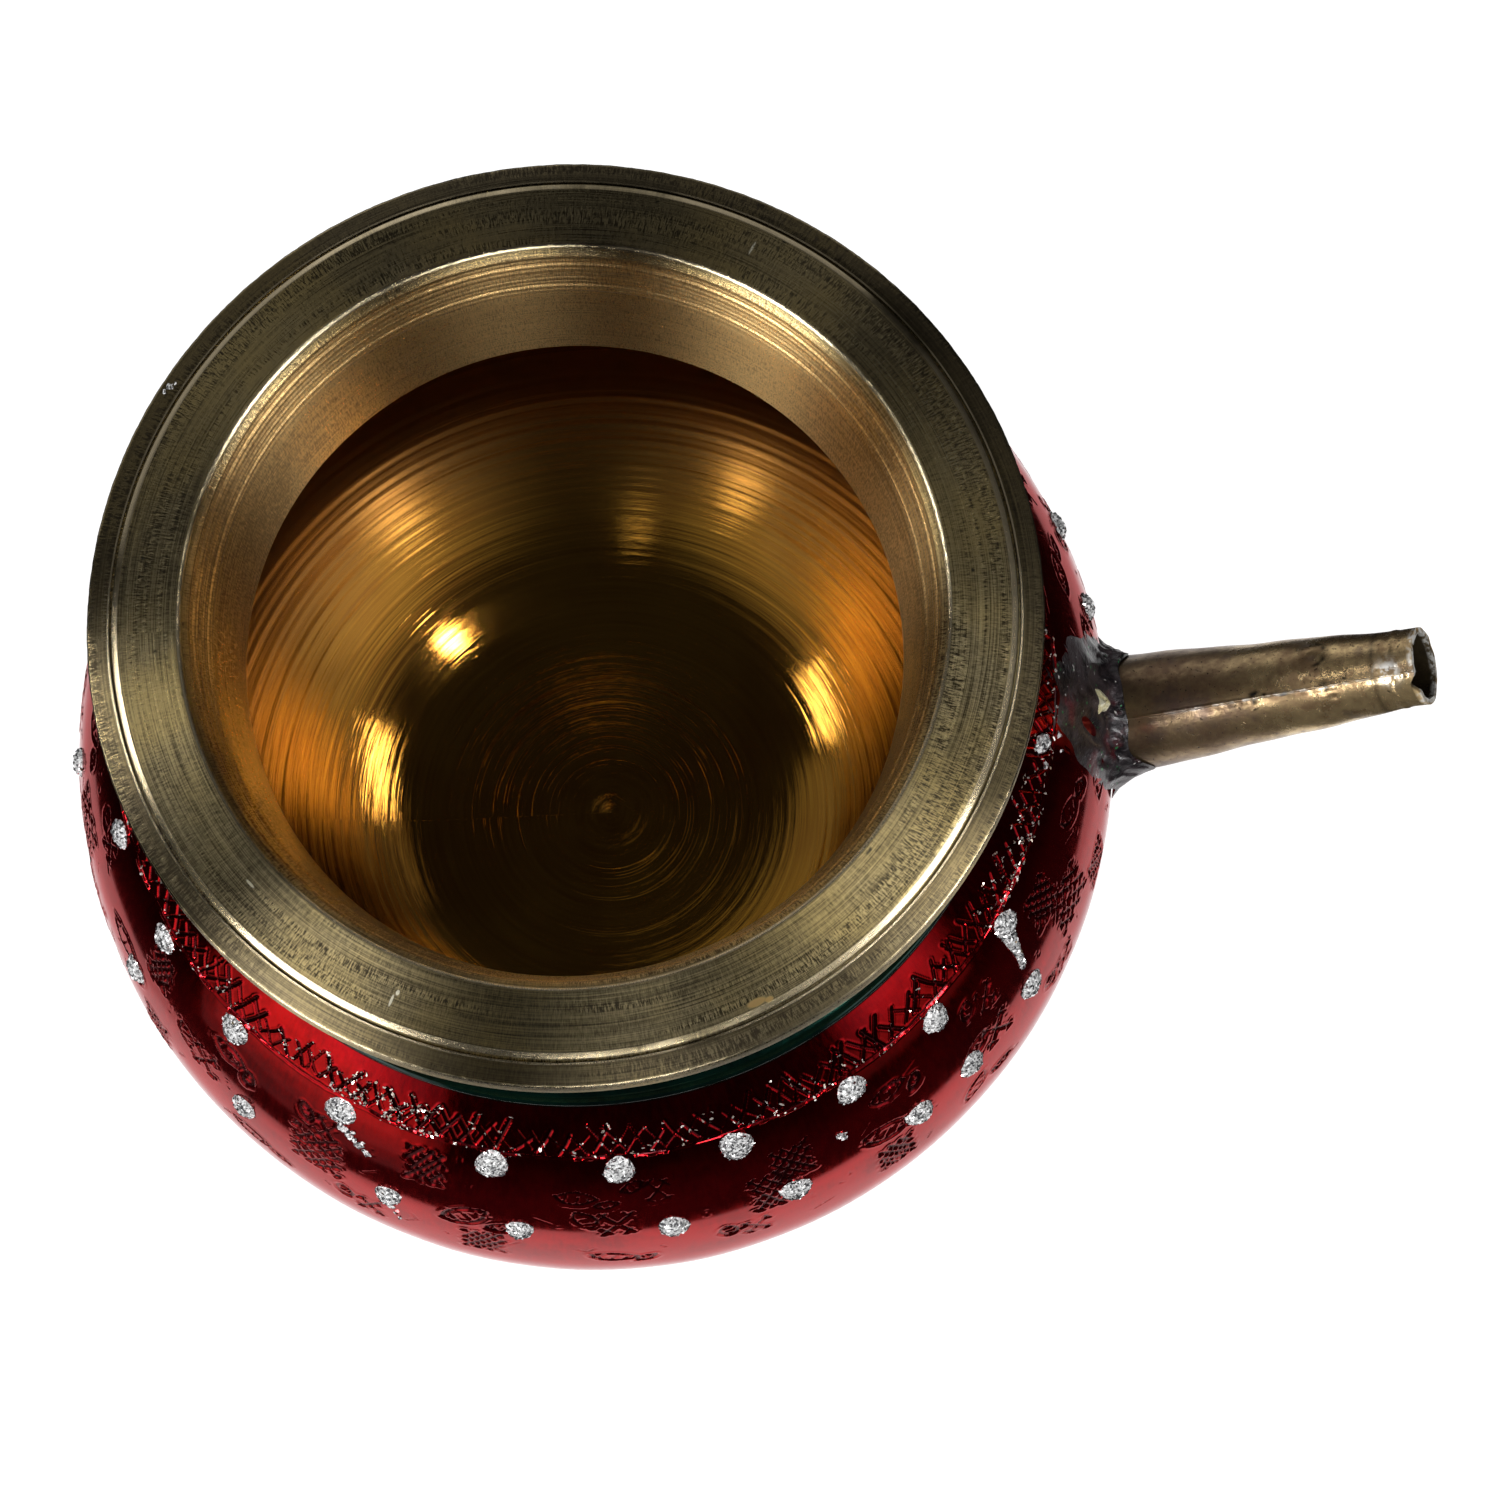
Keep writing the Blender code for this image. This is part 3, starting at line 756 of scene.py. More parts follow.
# %% Grooves on the shell
def groove_depth(angles, heights, strokes):
    """Depth of the cut and height of the burr, both in mm, on a grid of angles and heights."""
    cut = np.zeros((len(heights), len(angles)))
    burr = np.zeros_like(cut)
    step = angles[1] - angles[0]
    for line, width, depth in strokes:
        reach = 3.0 * width
        for (a, z), (b, y) in zip(line, line[1:]):
            lift = min(abs(0.5 * (z + y) - BELLY_Z) / SHOULDER_RISE, 0.95)
            radius = BELLY_R * math.sqrt(1 - lift * lift)
            slant = math.hypot(1.0, BELLY_R * lift / SHOULDER_RISE / math.sqrt(1 - lift * lift))
            rows = np.nonzero((heights > min(z, y) - reach) & (heights < max(z, y) + reach))[0]
            if len(rows) == 0:
                continue
            first = math.floor((min(a, b) - reach / radius) / step)
            last = math.ceil((max(a, b) + reach / radius) / step)
            cols = np.arange(first, last + 1)
            across = (cols[None, :] * step - a) * radius
            up = (heights[rows][:, None] - z) * slant
            du = (b - a) * radius
            dv = (y - z) * slant
            t = np.clip((across * du + up * dv) / (du * du + dv * dv), 0, 1)
            away = np.hypot(across - t * du, up - t * dv)
            at = np.ix_(rows, cols % len(angles))
            cut[at] = np.maximum(cut[at], depth * np.clip(1.25 * bell(away, 0.0, width) - 0.1, 0, 1))
            lips = 0.5 * depth * bell(away, 1.9 * width, 0.6 * width)
            burr[at] = np.maximum(burr[at], lips)
    return cut, burr


print("groove field ready, belly radius in mm:", round(BELLY_R, 1))

# %% [markdown]
# ## Engraved zones
# Three zones of the shell carry the cuts. Each keeps two values at its points: how far the cut sinks, so
# that the lacquer can lie darker there, and how thickly the lips later bear slivers of bare metal. The
# slivers lie thickest at two sides where the lamps glint on them, which is a painted highlight. A slow
# ripple keeps the shell from looking like a perfect lathe form.

# %% Engraved zones
FULL_CUT = 0.14       # mm of depth at which the lacquer is darkest
FULL_LIP = 0.06       # mm of burr that bears the most bare metal
# Where the slivers lie thickest, as a painted highlight where the lamps glint on them: degrees round the
# pot, and how wide.
SLIVER_GLINT_PLACES = ((-118.0, 22.0), (-22.0, 18.0))
SLIVERS_ELSEWHERE = 0.54


def store(piece, name, values):
    """Keep one number for each point of a mesh, for a material or a node tree to read."""
    kept = piece.data.attributes.new(name, "FLOAT", "POINT")
    kept.data.foreach_set("value", np.asarray(values, np.float32).ravel())


def belly_ripple(angle):
    """Hammer-soft unevenness of the shell, in mm."""
    return wobble(angle, 31, range(2, 9), 0.04) + wobble(angle, 33, range(9, 30, 4), 0.012)


def sliver_glint_share(angles, heights):
    """How thickly the lips bear bare slivers: most at two sides where the lamps glint on them, as a painted
    highlight, and along the lower line.
    """
    share = np.full(len(angles), SLIVERS_ELSEWHERE)
    for place, spread in SLIVER_GLINT_PLACES:
        away = (np.degrees(angles) - place + 180.0) % 360.0 - 180.0
        share = np.maximum(share, bell(away, 0.0, spread))
    line = 0.82 + 0.18 * bell(heights, HATCH_LOW, 0.5)
    return share[None, :] * line[:, None]


def engraved_zone(name, high, low, rows, turns, strokes):
    heights = np.linspace(high, low, rows)
    angles = np.linspace(0.0, 2 * np.pi, turns, endpoint=False)
    cut, burr = groove_depth(angles, heights, strokes)
    fade = np.minimum(1.0, np.minimum(np.arange(rows), np.arange(rows)[::-1]) / 2.0)[:, None]
    off = (burr * (cut < 0.02) - cut) * fade
    base = np.array([tuple(shoulder_point(z)) for z in heights])
    out = np.array([tuple(shoulder_point(z, 1.0)) for z in heights]) - base

    def sink(radius, height, angle):
        return radius + (out[:, :1] * off + belly_ripple(angle)) * MM, height + out[:, 1:] * off * MM

    made = turn(name, base * MM, RED_LACQUER, turns, wear=sink, sharp=60.0)
    store(made, "cut", np.clip(cut * fade / FULL_CUT, 0, 1))
    # More slivers where the lamps glint on them, a painted highlight.
    store(made, "lip", np.clip(burr * fade / FULL_LIP, 0, 1) * sliver_glint_share(angles, heights))
    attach(made, "root")
    print(name, "triangles:", 2 * len(made.data.polygons), "deepest cut in mm:", round(cut.max(), 2))
    return made


BAND_TOP, BAND_FOOT, ZONE_MIDDLE, ZONE_FOOT = 49.2, 44.9, 36.0, 26.0    # heights in mm
band = engraved_zone("crossed_band", BAND_TOP, BAND_FOOT, rows=42, turns=2000, strokes=crossed_band())
motifs = belly_motifs()
engraved_zone("motifs_high", BAND_FOOT, ZONE_MIDDLE, rows=60, turns=1600, strokes=motifs)
low_zone = engraved_zone("motifs_low", ZONE_MIDDLE, ZONE_FOOT, rows=60, turns=1600, strokes=motifs)

# %% [markdown]
# ## The plain belly
# Above the crossed band and below the engraved rows the shell is smooth. It carries the same slow hammer
# ripple as the engraved zones, so that the pieces meet without a step, and needs far fewer faces.


# %% Plain belly above and below
def ripple_wear(radius, height, angle):
    return radius + belly_ripple(angle) * MM, height


above = [tuple(shoulder_point(z)) for z in np.linspace(skirt_z + 0.7, BAND_TOP, 8)]
below = [tuple(shoulder_point(ZONE_FOOT)), tuple(shoulder_point(BELLY_Z + 0.3))]
below += [tuple(haunch_point(t)) for t in np.linspace(0.0, 1.0, 50)] + [(17.0, FLOOR_MM)]
shoulder = turn("plain_shoulder", np.array(above) * MM, RED_LACQUER, turns=640, wear=ripple_wear)
belly = turn("plain_belly", np.array(below) * MM, RED_LACQUER, turns=640, wear=ripple_wear)
for piece in (shoulder, belly):
    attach(piece, "root")
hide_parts("upper_bowl", "lower_bowl")
print("belly triangles:", 2 * len(belly.data.polygons))

# %% [markdown]
# ## Inside and foot
# The bowl's floor is almost flat and bends up quickly, which is what gives the dark disc with a bright
# ring. The list of slopes is summed up from the middle outwards, so the curve has no kink that would show
# in the polish. The foot is a low turned ring with a flat underside, of the same brass as the rim.

# %% Inside and foot
# Each pair: distance from the axis in mm, and the slope of the floor there in degrees.
FLOOR_SLOPES = [(0, 0), (8, 0.8), (12, 2), (15, 5), (17, 9.5), (18.5, 13.6), (20, 17), (22, 20.5), (26, 25),
                (31, 29), (34, 34), (37, 45), (39, 62), (39.8, 74)]
FLOOR_Z = FLOOR_MM + WALL


def inside_profile():
    """The floor by its slopes, a short curve up to the widest place, then the shoulder seen from inside."""
    out = np.linspace(0.02, 39.8, 300)
    knots = np.array(FLOOR_SLOPES, float)
    steep = np.tan(np.radians(np.interp(out, knots[:, 0], knots[:, 1])))
    rise = np.concatenate([[0.0], np.cumsum(0.5 * (steep[1:] + steep[:-1]) * np.diff(out))])
    tool = 0.0016 * (np.sin(out * 6.1) + np.sin(out * 9.7 + 1.0) + np.sin(out * 3.3 + 2.0))
    tool *= 1.0 + 2.5 * step_up(out, 27.0, 5.0)
    pip = 0.05 * bell(out, 0.0, 0.8) - 0.03 * bell(out, 2.0, 0.7)
    made = list(zip(out, FLOOR_Z + rise + tool + pip))
    start = Vector(made[-1])
    end = shoulder_point(BELLY_Z + 0.6, -WALL)
    corner = Vector((end.x, start.y + (end.x - start.x) * steep[-1]))
    for t in np.linspace(0.0, 1.0, 12)[1:-1]:
        made.append(tuple(start * (1 - t) ** 2 + corner * 2 * t * (1 - t) + end * t * t))
    for z in np.linspace(BELLY_Z, rim_mm - BORE_DEPTH - 0.1, 50):
        made.append(tuple(shoulder_point(z + 0.6, -WALL)))
    return np.array(made) * MM


inside = turn("belly_inside", inside_profile(), POLISHED_BRASS, turns=270)
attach(inside, "root")

foot_points = [(17.0, 3.05), (18.9, 2.9), (19.3, 2.7), (19.45, 2.3), (19.3, 1.7), (19.5, 1.2), (19.5, 0.5),
               (19.3, 0.18), (18.9, 0.0), (14.5, 0.0), (14.2, 0.12), (13.9, 0.02)]
foot_points += [(r, 0.05 + 0.02 * math.sin(r * 6.0)) for r in np.linspace(13.6, 0.05, 60)]
foot = turn("foot_disc", np.array(foot_points) * MM, TURNED_BRASS, turns=256)
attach(foot, "root")
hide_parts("foot")
print("inside triangles:", 2 * len(inside.data.polygons))

# %% [markdown]
# ## Node groups
# Geometry Nodes makes what repeats in great number. `Nodes` builds a group by calls and turns its result
# into a plain mesh.


# %% Geometry Nodes helper
class Nodes:
    """A Geometry Nodes group built by calls; each call adds a node and returns it."""

    def __init__(self, name, inputs):
        self.group = bpy.data.node_groups.new(name, "GeometryNodeTree")
        self.group.interface.new_socket("Geometry", in_out="INPUT", socket_type="NodeSocketGeometry")
        self.keys = {}
        for key, kind in inputs.items():
            socket = self.group.interface.new_socket(key, in_out="INPUT", socket_type=kind)
            self.keys[key] = socket.identifier
        self.group.interface.new_socket("Geometry", in_out="OUTPUT", socket_type="NodeSocketGeometry")
        self.source = self.add("NodeGroupInput")

    def add(self, kind, feeds=(), **settings):
        return add_node(self.group, kind, feeds, **settings)

    def chance(self, low, high, seed):
        """A random number, or a random vector, for each point."""
        vector = isinstance(low, tuple)
        first, out = (0, 0) if vector else (2, 1)
        made = self.add("FunctionNodeRandomValue", {first: low, first + 1: high, "Seed": seed},
                        data_type="FLOAT_VECTOR" if vector else "FLOAT")
        return made.outputs[out]

    def run(self, target, values):
        """Evaluate the group on an object and give the object the plain mesh it makes."""
        modifier = target.modifiers.new("nodes", "NODES")
        modifier.node_group = self.group
        for key, value in values.items():
            modifier[self.keys[key]] = value
        target.update_tag()
        bpy.context.view_layer.update()
        seen = target.evaluated_get(bpy.context.evaluated_depsgraph_get())
        mesh = bpy.data.meshes.new_from_object(seen)
        target.modifiers.remove(modifier)
        target.data = mesh


print("node helper ready")

# %% [markdown]
# ## The spout
# A maker rolled sheet brass to a taper, lapped its long edge on top and soldered it into a hole in the
# belly. Its own frame has the axis along local Z, so every later shape on it can be written in mm along and
# radians round.

# %% Spout frame
SPOUT_TILT = math.radians(24.0)
SPOUT_Z = BELLY_Z + 3.6
SPOUT_AT = Vector((shoulder_point(SPOUT_Z).x, 0.0, SPOUT_Z)) * MM
SPOUT_PLACE = Matrix.Translation(SPOUT_AT) @ Matrix.Rotation(0.5 * math.pi - SPOUT_TILT, 4, "Y")
SPOUT_TURN = SPOUT_PLACE.to_3x3()
SPOUT_AXIS = (SPOUT_TURN @ Vector((0, 0, 1))).normalized()
SPOUT_LENGTH = 27.0
SPOUT_SUNK = 4.6
SPOUT_SEAM = math.radians(22.0)
SPOUT_ROOT_R = 4.9
SPOUT_TIP_R = 3.0
SHEET = 0.45          # thickness of the rolled sheet in mm


def tube_radius(along):
    return SPOUT_ROOT_R + (SPOUT_TIP_R - SPOUT_ROOT_R) * along / SPOUT_LENGTH


def bump_at(along, around, centre, size, depth):
    """A soft dent or blob on the tube, for places in mm along and radians round."""
    return depth * np.exp(-(((along - centre[0]) / size) ** 2 + ((around - centre[1]) * 4.0 / size) ** 2))


print("spout root at mm:", [round(c / MM, 1) for c in SPOUT_AT])

# %% [markdown]
# ## The rolled tube
# A plain cone would be too perfect. The radius is a sum of small named terms: the lap of the sheet, a ring
# and a flare at the tip, slow waves from the rolling, blobs of solder and pits along the seam. The tip is
# cut ragged. The points lie closer together at the seam and the tip, where the shape changes fast.


# %% Spout tube
def rolled_spout():
    """Outer and inner skin of the tube, joined at both ends."""
    near_seam = np.linspace(0.0, 0.13, 13, endpoint=False)
    around = np.concatenate([near_seam, np.linspace(0.13, 2 * np.pi - 0.13, 150, endpoint=False),
                             2 * np.pi - 0.13 + near_seam])
    along = np.concatenate([np.linspace(-SPOUT_SUNK, SPOUT_LENGTH - 2.0, 90),
                            np.linspace(SPOUT_LENGTH - 1.9, SPOUT_LENGTH, 30)])
    s, a = np.meshgrid(along, around, indexing="ij")
    from_tip = s - SPOUT_LENGTH
    lap = 0.12 * (1.0 - a / (2 * np.pi)) ** 3 + 0.05 * bell(a, 0.03, 0.025)
    ring = 0.06 * bell(from_tip, -1.9, 0.28)
    flare = 0.10 * step_up(from_tip, -1.6, 1.6)
    waves = 0.05 * np.sin(s * 0.55 + 1.0) * np.cos(2 * a) + 0.03 * np.sin(s * 1.3) * np.cos(3 * a + 0.6)
    blobs = (bump_at(s, a, (18.6, 0.87), 0.9, 0.26) + bump_at(s, a, (20.2, 6.01), 0.6, 0.10)
             + bump_at(s, a, (20.2, 6.01), 0.35, -0.16))
    pits = np.sin(s * 9.0) * np.sin(s * 3.7 + 1.0) * bell(a, 2 * np.pi - 0.05, 0.05)
    outer = tube_radius(s) + lap + ring + flare + waves + blobs - 0.05 * np.maximum(pits, 0.0)
    inner = tube_radius(s) - SHEET + flare
    ragged = wobble(around, 41, range(2, 14, 2), 0.035) - 0.5 * bell(around, 5.95, 0.20)
    s = s + step_up(from_tip, -3.0, 3.0) * ragged[None, :]
    turned = math.pi - SPOUT_SEAM + a
    shells = [np.stack([radius * np.cos(turned), -radius * np.sin(turned), s], -1)
              for radius in (outer, inner)]
    rows, cols = s.shape
    verts = np.concatenate([shells[0].reshape(-1, 3), shells[1][::-1].reshape(-1, 3)]) * MM
    faces = [tuple(k % len(verts) for k in face[::-1]) for face in skin_faces(2 * rows, cols)]
    return [SPOUT_PLACE @ Vector(v) for v in verts], faces


spout_verts, spout_faces = rolled_spout()
spout = add_piece("rolled_spout", spout_verts, spout_faces, ROLLED_BRASS, sharp=40.0)
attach(spout, "root")
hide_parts("spout_tube")
print("spout triangles:", 2 * len(spout.data.polygons))

# %% [markdown]
# ## Dirt, solder, painted shade and a painted highlight on the spout
# Flux left black pits along the seam, a dark ring stands near the tip, and solder shines where a file
# passed.
# The inside of the tube and the part near the pot are darkened as painted shade, and a broken pale line
# along the soldered seam is a painted highlight. Painting this by hand could not be repeated. Each point of
# the mesh gets two shares instead, worked out from its place along and round the tube, and the material
# mixes its metals by them.


# %% Dirt, solder, painted shade and a painted highlight
def spout_marks(verts):
    """Two attributes: one for flux pits, a dark edge round the blob, a dark ring near the tip and painted
    shade inside the tube and near the pot; one for solder near and on the tip and a painted highlight along
    the seam.
    """
    back = SPOUT_PLACE.inverted()
    local = np.array([tuple(back @ v) for v in verts]) / MM
    along = local[:, 2]
    around = (np.arctan2(-local[:, 1], local[:, 0]) + SPOUT_SEAM) % (2 * math.pi) - math.pi
    chance = np.random.default_rng(77)
    grime_and_shade = np.zeros(len(verts))
    for _ in range(18):
        at = (chance.uniform(13.0, 21.5), chance.normal(0.0, 0.13))
        size = chance.uniform(0.08, 0.20)
        away = np.hypot(along - at[0], (around - at[1]) * 3.6)
        grime_and_shade = np.maximum(grime_and_shade, np.clip(1.6 - away / size, 0, 1))
    # Painted shade: the inside of the tube is darkened.
    bore = np.hypot(local[:, 0], local[:, 1]) < tube_radius(along) - 0.3
    grime_and_shade = np.maximum(grime_and_shade, 0.8 * bore)
    blob = np.hypot(along - 18.8, (around - 0.80) * 3.6)
    grime_and_shade = np.maximum(grime_and_shade, bell(blob, 1.05, 0.14) * (along > 18.9))
    grime_and_shade = np.maximum(grime_and_shade, 0.75 * bell(along, 23.6, 0.10))
    # Painted shade: darker towards the pot.
    grime_and_shade = np.maximum(grime_and_shade, 0.55 * step_up(along, 6.0, -4.0))
    tin_and_highlight = np.exp(-(((along - 24.9) / 0.9) ** 2 + ((around - 0.10) * 3.4 / 0.9) ** 2))
    tin_and_highlight = np.maximum(tin_and_highlight, 0.6 * step_up(along, SPOUT_LENGTH - 0.5, 0.3))
    # Painted highlight: a broken pale line along the soldered seam.
    gaps = 0.5 + 0.5 * np.sin(along * 2.3) * np.sin(along * 5.1 + 1.0)
    seam = np.exp(-((around - 0.01) * 3.6 / 0.11) ** 2) * step_up(along, 5.5, 3.0) * gaps
    tin_and_highlight = np.maximum(tin_and_highlight, 0.7 * seam)
    return {"grime_and_shade": grime_and_shade, "tin_and_highlight": np.clip(1.4 * tin_and_highlight, 0, 1)}


for key, values in spout_marks(spout_verts).items():
    store(spout, key, values)
    print(key, "on points:", int((values > 0.5).sum()))

# %% [markdown]
# ## The hole behind the spout
# Water has to reach the spout, so the shells are open behind it. A Boolean with the tube would leave long
# thin faces. Faces inside the tube are deleted instead, and the edge that is left moves into the thickness
# of the sheet, where it is out of sight.


# %% Spout hole
HOLE_INSET = 0.2              # mm from the tube's outer face to the hole's edge
HOLE_REACH = (-20.0, 10.0)    # mm along the spout, so that the far wall stays whole


def open_bore(piece):
    """Cut the spout's hole into one shell."""
    back = SPOUT_PLACE.inverted()
    cut = bmesh.new()
    cut.from_mesh(piece.data)
    gone = []
    for face in cut.faces:
        middle = back @ face.calc_center_median() / MM
        near = HOLE_REACH[0] < middle.z < HOLE_REACH[1]
        if near and math.hypot(middle.x, middle.y) < tube_radius(middle.z) - HOLE_INSET:
            gone.append(face)
    edge = {vert for face in gone for vert in face.verts}
    bmesh.ops.delete(cut, geom=gone, context="FACES")
    for vert in edge:
        if vert.is_valid:
            place = back @ vert.co / MM
            scale = (tube_radius(place.z) - HOLE_INSET) / math.hypot(place.x, place.y)
            vert.co = SPOUT_PLACE @ (Vector((place.x * scale, place.y * scale, place.z)) * MM)
    cut.to_mesh(piece.data)
    cut.free()
    print("hole in", piece.name, "faces:", len(gone))


for shell in (low_zone, belly, inside):
    open_bore(shell)

# %% [markdown]
# ## The solder collar
# Solder ran round the root of the spout, climbed the tube and spread up the belly. A fillet from a bevel
# would be too regular. Each point of this skin is found by shooting a ray along the spout onto the belly's
# oval and adding a film that thins outwards, with sums of sines for the lumps.


# %% Solder collar
def shell_hit(start, way):
    """How far along `way` from `start` (mm, spout frame turned to the pot) the shell's oval lies."""
    scale = Vector((1 / BELLY_R, 1 / BELLY_R, 1 / SHOULDER_RISE))
    p = Vector((start.x * scale.x, start.y * scale.y, (start.z - BELLY_Z) * scale.z))
    d = Vector((way.x * scale.x, way.y * scale.y, way.z * scale.z))
    a = d.dot(d)
    b = p.dot(d)
    c = p.dot(p) - 1.0
    return (-b + math.sqrt(max(b * b - a * c, 0.0))) / a


def solder_collar():
    """Solder that climbs the tube in a fillet and thins to a film, farthest on the belly's upper side."""
    turns = 168
    rings = 40
    around = np.linspace(0, 2 * np.pi, turns, endpoint=False)
    upper = bell(around, 3.0, 1.1)
    tongue = 12.0 * bell(around, 3.0, 0.62)
    ragged = wobble(around, 51, range(3, 30), 0.55) * upper + wobble(around, 59, range(2, 9), 0.22)
    foot_r = 6.3 + tongue + ragged
    climb = 1.5 + wobble(around, 53, range(2, 9), 0.35) + 2.0 * bell(around, 1.5, 0.5)
    lumps = np.random.default_rng(57)
    waves = [(lumps.integers(2, 18), lumps.uniform(0, 6.3), lumps.uniform(3, 22), lumps.uniform(0, 6.3))
             for _ in range(24)]
    base = SPOUT_AT / MM
    verts = []
    for i in range(rings + 1):
        t = i / rings
        for j, a in enumerate(around):
            way = SPOUT_TURN @ Vector((math.cos(a), -math.sin(a), 0))
            inner = tube_radius(climb[j]) + 0.10
            out = inner + (foot_r[j] - inner) * t ** 1.7
            start = base + way * out
            lump = sum(math.sin(w * a + p) * math.sin(q * t + o) for w, p, q, o in waves) * 0.07
            film = 0.34 * (1 - t ** 4) - 0.06 + lump * math.sin(math.pi * min(1.0, 1.15 * t))
            lift = shell_hit(start, SPOUT_AXIS) + film + climb[j] * math.exp(-(out - inner) / 0.7)
            verts.append((start + SPOUT_AXIS * lift) * MM)
    return verts, skin_faces(rings, turns)


collar = add_piece("solder_collar", *solder_collar(), DARK_SOLDER, sharp=60.0)
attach(collar, "root")
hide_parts("spout_collar")
print("collar triangles:", 2 * len(collar.data.polygons))

# %% [markdown]
# ## A chip in the solder
# One bright splinter sits in the solder on the upper side. It is a squashed ball with an uneven outline and
# flat shading, so that it catches the light in facets.

# %% Chip of pale brass
PALE_CHIP = grainy("pale chip", (1500.0, 3.0, 0.6), rgb(0.62, 0.55, 0.30), rgb(0.95, 0.92, 0.72),
                   rough=(0.5, 0.3), relief=(0.5, 0.0002), Metallic=0.35)


def chip_shape():
    """A lump with flat facets, on the upper side of the collar near the pot."""
    chance = np.random.default_rng(61)
    middle = SPOUT_TURN @ Vector((-8.1, -0.9, 0.0)) + SPOUT_AT / MM
    middle += SPOUT_AXIS * (shell_hit(middle, SPOUT_AXIS) + 0.30)
    verts = []
    rows, cols = 8, 12
    for i in range(rows + 1):
        rise = math.pi * i / rows
        for j in range(cols):
            a = 2 * math.pi * j / cols
            spread = 1.0 + 0.22 * math.sin(2 * a + 0.7) + 0.16 * math.sin(3 * a + 2.0)
            spread += chance.normal(0, 0.05)
            across = Vector((math.cos(a) * math.sin(rise) * 1.25, math.sin(a) * math.sin(rise) * 1.15,
                             math.cos(rise) * 0.60)) * spread
            verts.append((middle + SPOUT_TURN @ across) * MM)
    return verts, skin_faces(rows, cols)


chip = add_piece("brass_chip", *chip_shape(), PALE_CHIP, sharp=20.0)
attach(chip, "root")
print("chip at mm:", [round(c / MM, 1) for c in chip.data.vertices[0].co])

# %% [markdown]
# ## Dots of glitter paint
# Two rows of dots were set with a pen round the shoulder. Each one is a low uneven dome that sits where the
# frame has its solid. A squashed ball would stand on the curved belly at a slant, so every dome is built on
# the shell's own slope, with a little chance in its size and outline.

# %% Paint domes
DOT_RISE = 0.62       # mm of paint over the lacquer


def round_point(radius, angle, height):
    return Vector((radius * math.cos(angle), radius * math.sin(angle), height))


def dome(rows, cols, point):
    """A lid of rings; `point` gives the place in mm for a share from top to edge and an angle."""
    verts = [point(i / rows, 2 * math.pi * j / cols) * MM for i in range(rows + 1) for j in range(cols)]
    return verts, [face[::-1] for face in skin_faces(rows, cols)]


def dot_dome(low, high, number):
    """A dome over the box of one dot, on the slope of the shell. Those at the front are a little taller."""
    centre = (low + high) * 0.5
    chance = np.random.default_rng(900 + number)
    seat = shoulder_point(centre.z / MM)
    slope = (shoulder_point(centre.z / MM, 1.0) - seat).normalized()
    azimuth = math.atan2(centre.y, centre.x)
    out = round_point(slope.x, azimuth, slope.y)
    side = Vector((-math.sin(azimuth), math.cos(azimuth), 0))
    up = out.cross(side) * -1.0
    base = round_point(seat.x, azimuth, seat.y)
    size = 0.5 * (high.z - low.z) / MM * chance.uniform(1.10, 1.28)
    phase = chance.uniform(0, 6.3, 2)
    tall = 1.0 + 0.3 * max(0.0, math.cos(azimuth - FRONT_AT - VIEW_TURN)) ** 2

    def point(t, a):
        r = size * t * (1 + 0.05 * math.sin(2 * a + phase[0]) + 0.05 * math.sin(3 * a + phase[1]))
        rise = DOT_RISE * (1 - t ** 2.6) - 0.05
        return base + side * (r * math.cos(a)) + up * (tall * r * math.sin(a)) + out * rise

    return dome(rows=7, cols=28, point=point)


dot_nodes = sorted(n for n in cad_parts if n.startswith("dot_"))
print("paint dots:", len(dot_nodes))

# %% [markdown]
# ## Drops and smears
# The brush also left a few drops between the dots, a long smear beside one of them and some specks on the
# rim. They are listed one by one, by degrees round the pot and height in mm, because no rule repeats them.
# A drop is a small uneven dome, and a smear is a ribbon that is thick along its middle.


# %% Drops and smears
SMEAR_R = 39.0        # mm from the axis where the smears lie
SMEAR_SLANT = 1.15    # mm along the shell there for one mm of height


def fleck(degrees, height, size, out=0.0):
    """A small uneven drop beside the dots, or on the rim's ledge at distance `out` from the axis."""

    def point(t, a):
        r = size * t * (1 + 0.3 * math.sin(2 * a + 40 * degrees) + 0.2 * math.sin(3 * a + 9 * height))
        rise = 0.7 * size * (1 - t * t) - 0.03
        if out:
            place = Vector((out + r * math.sin(a), height + rise))
        else:
            place = shoulder_point(height + 0.9 * r * math.sin(a), rise)
        return round_point(place.x, math.radians(degrees) + r * math.cos(a) / place.x, place.y)

    return dome(rows=3, cols=9, point=point)


def smear(path, widths, high):
    """A ribbon of paint along (degrees, mm) points on the shell, thick in the middle of its width."""
    verts = []
    rows, cols = 18, 9
    path = np.array(path, float)
    along = np.linspace(0, len(path) - 1, rows)
    angle = np.radians(np.interp(along, range(len(path)), path[:, 0]))
    height = np.interp(along, range(len(path)), path[:, 1])
    width = np.interp(along, range(len(path)), widths)
    turn_way = np.gradient(angle) * SMEAR_R
    up_way = np.gradient(height) * SMEAR_SLANT
    size = np.hypot(turn_way, up_way)
    for i in range(rows):
        for j in range(cols):
            x = 2 * j / (cols - 1) - 1
            a = angle[i] - x * width[i] * up_way[i] / size[i] / SMEAR_R
            z = height[i] + x * width[i] * turn_way[i] / size[i] / SMEAR_SLANT
            end = math.sin(math.pi * (i + 0.3) / (rows - 0.4)) ** 0.4
            point = shoulder_point(z, high * end * (1 - x * x) ** 0.7 - 0.03)
            verts.append(round_point(point.x, a, point.y) * MM)
    faces = [(i * cols + j, i * cols + j + 1, (i + 1) * cols + j + 1, (i + 1) * cols + j)
             for i in range(rows - 1) for j in range(cols - 1)]
    return verts, faces


